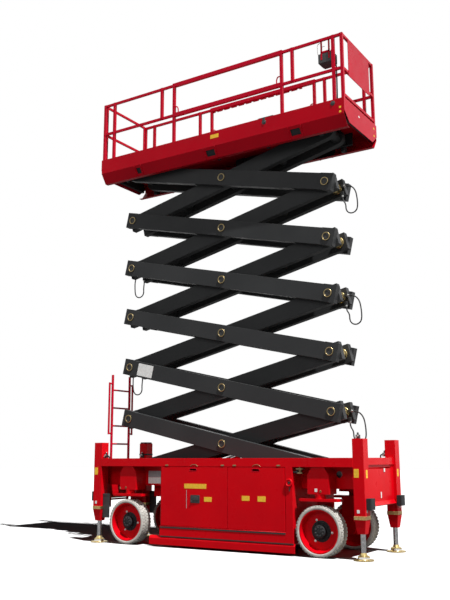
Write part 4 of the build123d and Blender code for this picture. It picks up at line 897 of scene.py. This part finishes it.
# ---------------------------------------------------------------- platform fittings
FASCIA_FACE = 0.556
RAIL_Y = 0.516
LATCH_RINGS = (-0.748, 1.022)
LATCH_RING = ((-0.040, 6.262), (-0.042, 6.320), (-0.026, 6.362), (0.0, 6.370), (0.026, 6.362),
              (0.042, 6.320), (0.040, 6.262))
DECK_KNOBS = ((0.791, 5.735), (1.833, 5.750))
DECK_KNOB = [(0.0, 0.012), (0.014, 0.012), (0.018, 0.010), (0.019, 0.004), (0.030, 0.004),
             (0.033, 0.002), (0.033, 0.0), (0.0, 0.0)]
BEVEL_OPENINGS = ((-1.510, -1.385), (-0.225, -0.030), (1.155, 1.350))
BEVEL_IN = (0.823, 0.568)
for side, side_name in SIDES:
    for number, middle in enumerate(LATCH_RINGS, start=1):
        ring = smooth_path([(middle + dx, side * RAIL_Y, z) for dx, z in LATCH_RING], 5)
        piece(f"latch_ring_{number}_{side_name}", tube_shape(ring, 0.009, 10), rail_paint,
              "platform", "rail_red", smooth=True)
    for number, (x, z) in enumerate(DECK_KNOBS, start=1):
        piece(f"deck_knob_{number}_{side_name}", turned_shape(DECK_KNOB, 28), case_plastic,
              "platform", "black_case", facing_frame((x, side * FASCIA_FACE, z), (0, side, 0)))
    catch = [standing((0.240, 0.020, 0.010), 0.003, (0.815, side * 0.545, 5.800)),
             standing((0.040, 0.012, 0.045), 0.003, (0.791, side * 0.5555, 5.762))]
    piece(f"deck_catch_{side_name}", joined(catch), case_plastic, "platform", "black_case")
    # dark backs behind the openings of the bevel
    backs = [(block_shape((high - low + 0.030, 0.130, 0.006), 0.002),
              facing_frame(((low + high) / 2, side * 0.4925, 5.5115),
                           (0, -side * BEVEL_IN[0], BEVEL_IN[1])))
             for low, high in BEVEL_OPENINGS]
    piece(f"bevel_backs_{side_name}", joined(backs), dark_paint, "platform", "dark_steel")

# bare stickers on both sides and on the front end: place, width, height
SIDE_LABELS = (
    ("housing_label", "chassis", white_film, (1.456, HOUSING_FACE, 0.789), 0.036, 0.040),
    ("inner_label_grey", "chassis", grey_film, (-1.180, INNER_FACE, 0.957), 0.220, 0.086),
    ("inner_label_white", "chassis", white_film, (-1.180, INNER_FACE, 0.868), 0.220, 0.086),
    ("fascia_label", "platform", yellow_film, (-0.030, FASCIA_FACE, 5.720), 0.140, 0.058),
    ("fascia_mark_top", "platform", yellow_film, (1.935, FASCIA_FACE, 5.672), 0.028, 0.030),
    ("fascia_mark_low", "platform", yellow_film, (1.935, FASCIA_FACE, 5.610), 0.028, 0.030))
END_LABELS = (
    ("end_mark_low", "chassis", white_film, (2.0645, 0.008, 0.724), 0.030, 0.075),
    ("end_mark_high", "chassis", white_film, (2.0645, 0.142, 1.023), 0.045, 0.045),
    ("end_yellow_1", "platform", yellow_film, (1.995, 0.455, 5.722), 0.028, 0.030),
    ("end_yellow_2", "platform", yellow_film, (1.995, 0.455, 5.613), 0.028, 0.030),
    ("end_white", "platform", white_film, (1.995, -0.069, 5.701), 0.045, 0.022))
for side, side_name in SIDES:
    for name, body, finish, (x, y, z), width, height in SIDE_LABELS:
        label(f"{name}_{side_name}", body, finish, (x, side * y, z), (0, side, 0), width, height)
for name, body, finish, place, width, height in END_LABELS:
    label(name, body, finish, place, (1, 0, 0), width, height)

# ---------------------------------------------------------------- control box
# the case in its bracket: the red hanger with its window, guard hoops, stick and switches
BOX_X, BOX_Y, BOX_Z = 1.720, -0.423, 6.440
BOX_HALF_X, BOX_HALF_Y, BOX_HALF_Z = 0.105, 0.075, 0.095
BOX_SLOPE = 0.055
BOX_TOP = BOX_Z + BOX_HALF_Z
CASE_SECTIONS = ((-BOX_HALF_Z, BOX_SLOPE), (-BOX_HALF_Z + BOX_SLOPE, 0.0),
                 (BOX_HALF_Z - 0.004, 0.0), (BOX_HALF_Z, 0.006))
HANGER_Y = BOX_Y - BOX_HALF_Y
HOOP = ((-0.100, 6.530), (-0.122, 6.560), (-0.124, 6.640), (-0.120, 6.690), (-0.095, 6.705),
        (-0.060, 6.705))
CONDUIT = ((1.862, -0.470, 5.722), (1.866, -0.470, 6.000), (1.866, -0.470, 6.240),
           (1.858, -0.462, 6.330), (1.822, -0.440, 6.400))
STICK = [(0.0, 0.085), (0.010, 0.083), (0.014, 0.074), (0.013, 0.060), (0.007, 0.048),
         (0.006, 0.026), (0.014, 0.018), (0.024, 0.008), (0.026, 0.0), (0.0, 0.0)]
SWITCH = [(0.0, 0.016), (0.005, 0.016), (0.006, 0.006), (0.011, 0.005), (0.012, 0.0), (0.0, 0.0)]
SWITCHES = ((-0.070, 0.052), (-0.035, 0.052), (0.0, 0.052), (-0.080, 0.036))
STOP = [(0.0, 0.030), (0.014, 0.029), (0.018, 0.024), (0.018, 0.018), (0.009, 0.014),
        (0.009, 0.004), (0.020, 0.003), (0.020, 0.0), (0.0, 0.0)]


def on_box(dx, dy):
    """A place on the top of the case."""
    return BOX_X + dx, BOX_Y + dy, BOX_TOP - 0.001


def bar(low, high):
    """A chamfered flat bar between two opposite corners, as a pair for joined."""
    low, high = Vector(low), Vector(high)
    middle = (low + high) / 2
    return standing(tuple(high - low), 0.0015, (middle.x, middle.y, low.z))


case = bmesh.new()
rings = [[case.verts.new((sx * (BOX_HALF_X - inset), sy * (BOX_HALF_Y - inset), z))
          for sx, sy in SQUARE]
         for z, inset in CASE_SECTIONS]
case.faces.new(rings[0][::-1])
case.faces.new(rings[-1])
skin(case, zip(rings, rings[1:]))
case_piece = piece("control_case", case, case_plastic, "front_deck", "black_case",
                   Matrix.Translation((BOX_X, BOX_Y, BOX_Z)))
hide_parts("control_box")

hanger = [bar((x - 0.011, HANGER_Y - 0.004, BOX_Z), (x + 0.011, HANGER_Y + 0.010, 6.744))
          for x in (BOX_X - 0.056, BOX_X + 0.056)]
hanger += [bar((BOX_X - 0.067, HANGER_Y - 0.004, z), (BOX_X + 0.067, HANGER_Y + 0.010, z + 0.022))
           for z in (6.540, 6.722)]
hanger.append(bar((BOX_X - 0.075, HANGER_Y + 0.004, 6.535), (BOX_X + 0.075, BOX_Y + 0.030, 6.545)))
piece("control_hanger", joined(hanger), rail_paint, "front_deck", "rail_red")
hoops = [(tube_shape(smooth_path([(BOX_X + dx, y, z) for dx, z in HOOP], 6), 0.0045, 10), None)
         for y in (BOX_Y - 0.050, BOX_Y + 0.050)]
piece("control_hoops", joined(hoops), bright_zinc, "front_deck", "chrome_rod", smooth=True)
piece("control_conduit", tube_shape(smooth_path(CONDUIT, 6), 0.009, 12), soft_rubber, "front_deck",
      "black_case", smooth=True)
switch_form = form("switch", turned_shape(SWITCH, 18))
piece("control_stick", turned_shape(STICK, 28), soft_rubber, "front_deck", "black_case",
      Matrix.Translation(on_box(0.045, 0.035)), smooth=True)
MARKED.make("control_switches", "front_deck", "black_case", switch_form, case_plastic,
            [(on_box(dx, dy), (0, 0, 1)) for dx, dy in SWITCHES])
piece("control_stop", turned_shape(STOP, 28), body_paint, "front_deck", "body_red",
      Matrix.Translation(on_box(0.085, -0.045)), smooth=True)

# ---------------------------------------------------------------- floor, light and camera
scene = bpy.context.scene
scene.view_settings.view_transform = "Standard"


FLOOR_SHOWN, FLOOR_THROWN = 0.80, 0.16
SKY_ON_MACHINE, SKY_SEEN = 0.012, 1.0
SUN_POWER, SUN_ANGLE = 6.0, math.radians(0.6)
NEAR_FILL, FAR_FILL, FILL_SIZE = 640, 420, 7.0


def floor_finish():
    """Plain pale floor, white in the sun, that throws back less light than it shows."""
    material = bpy.data.materials.new("studio_floor")
    material.use_nodes = True
    tree = material.node_tree
    tree.nodes.clear()
    add = tree.nodes.new
    output, matt = add("ShaderNodeOutputMaterial"), add("ShaderNodeBsdfDiffuse")
    rays, shade = add("ShaderNodeLightPath"), add("ShaderNodeMix")
    shade.data_type = "RGBA"
    shade.inputs["A"].default_value = (*[FLOOR_THROWN] * 3, 1)
    shade.inputs["B"].default_value = (*[FLOOR_SHOWN] * 3, 1)
    tree.links.new(rays.outputs["Is Camera Ray"], shade.inputs["Factor"])
    tree.links.new(shade.outputs["Result"], matt.inputs["Color"])
    tree.links.new(matt.outputs[0], output.inputs["Surface"])
    return material


floor_mesh = bpy.data.meshes.new("floor")
FLOOR_REACH = 60.0
floor_mesh.from_pydata([(x * FLOOR_REACH, y * FLOOR_REACH, 0) for x, y in SQUARE], [],
                       [(0, 1, 2, 3)])
floor_mesh.materials.append(floor_finish())
floor = new_object("floor", floor_mesh)

world = bpy.data.worlds.new("studio")
scene.world = world
world.use_nodes = True
sky = world.node_tree
sky.nodes.clear()
sky_out, sky_mix, sky_light, sky_seen, sky_rays, sky_open = (
    sky.nodes.new("ShaderNode" + kind)
    for kind in ("OutputWorld", "MixShader", "Background", "Background", "LightPath", "Math"))
sky_light.inputs["Color"].default_value = (0.95, 0.97, 1.0, 1)
sky_light.inputs["Strength"].default_value = SKY_ON_MACHINE
sky_seen.inputs["Color"].default_value = (1, 1, 1, 1)
sky_seen.inputs["Strength"].default_value = SKY_SEEN
sky_open.operation = "MAXIMUM"
sky.links.new(sky_rays.outputs["Is Camera Ray"], sky_open.inputs[0])
sky.links.new(sky_rays.outputs["Is Glossy Ray"], sky_open.inputs[1])
sky.links.new(sky_open.outputs[0], sky_mix.inputs["Fac"])
sky.links.new(sky_light.outputs[0], sky_mix.inputs[1])
sky.links.new(sky_seen.outputs[0], sky_mix.inputs[2])
sky.links.new(sky_mix.outputs[0], sky_out.inputs["Surface"])


LAMP_DISTANCE = 16.0
LAMP_AIM = (0, 0, 3.0)


def lamp(name, kind, power, direction, size):
    """A soft lamp that shines on the middle of the machine from a direction."""
    data = bpy.data.lights.new(name, kind)
    data.energy = power
    obj = new_object(name, data)
    if kind == "AREA":
        data.size = size
    else:
        data.angle = size
    back = Vector(direction).normalized()
    obj.location = Vector(LAMP_AIM) + back * LAMP_DISTANCE
    obj.rotation_mode = "QUATERNION"
    obj.rotation_quaternion = back.to_track_quat("Z", "Y")
    return obj


lamp("sun_from_front_right", "SUN", SUN_POWER, (3.6, -1.45, 6.75), SUN_ANGLE)
fills = [lamp("fill_from_near_side", "AREA", NEAR_FILL, (0.05, -1.0, 0.32), FILL_SIZE),
         lamp("fill_from_front", "AREA", NEAR_FILL, (1.0, -0.10, 0.20), FILL_SIZE),
         lamp("fill_from_far_side", "AREA", FAR_FILL, (-0.10, 1.0, 0.30), FILL_SIZE),
         lamp("fill_from_rear", "AREA", FAR_FILL, (-1.0, 0.10, 0.30), FILL_SIZE)]
# the fills pass the floor by, so the shadow on it stays dark
off_floor = bpy.data.collections.new("off_floor")
off_floor.objects.link(floor)
off_floor.collection_objects[0].light_linking.link_state = "EXCLUDE"
for fill in fills:
    fill.light_linking.receiver_collection = off_floor
    fill.visible_glossy = False

CAMERA_PLACE = (5.829, -9.465, 1.186)
CAMERA_TURN = 0.568
CAMERA_TILT = 0.197
CAMERA_ROLL = -0.003
FOCAL_SHARE = 788 / 600
SENSOR = 36.0
camera_data = bpy.data.cameras.new("camera")
camera_data.sensor_width = SENSOR
camera_data.lens = SENSOR * FOCAL_SHARE
camera_data.clip_end = 200
camera = new_object("camera", camera_data)
scene.camera = camera
forward = Vector((-math.sin(CAMERA_TURN) * math.cos(CAMERA_TILT),
                  math.cos(CAMERA_TURN) * math.cos(CAMERA_TILT), math.sin(CAMERA_TILT)))
level_right = Vector((math.cos(CAMERA_TURN), math.sin(CAMERA_TURN), 0))
up = level_right.cross(forward)
right = level_right * math.cos(CAMERA_ROLL) + up * math.sin(CAMERA_ROLL)
up = up * math.cos(CAMERA_ROLL) - level_right * math.sin(CAMERA_ROLL)
camera.matrix_world = Matrix.Translation(CAMERA_PLACE) @ Matrix(
    (right, up, -forward)).transposed().to_4x4()

# ---------------------------------------------------------------- closing
for obj in forms:
    bpy.data.objects.remove(obj)
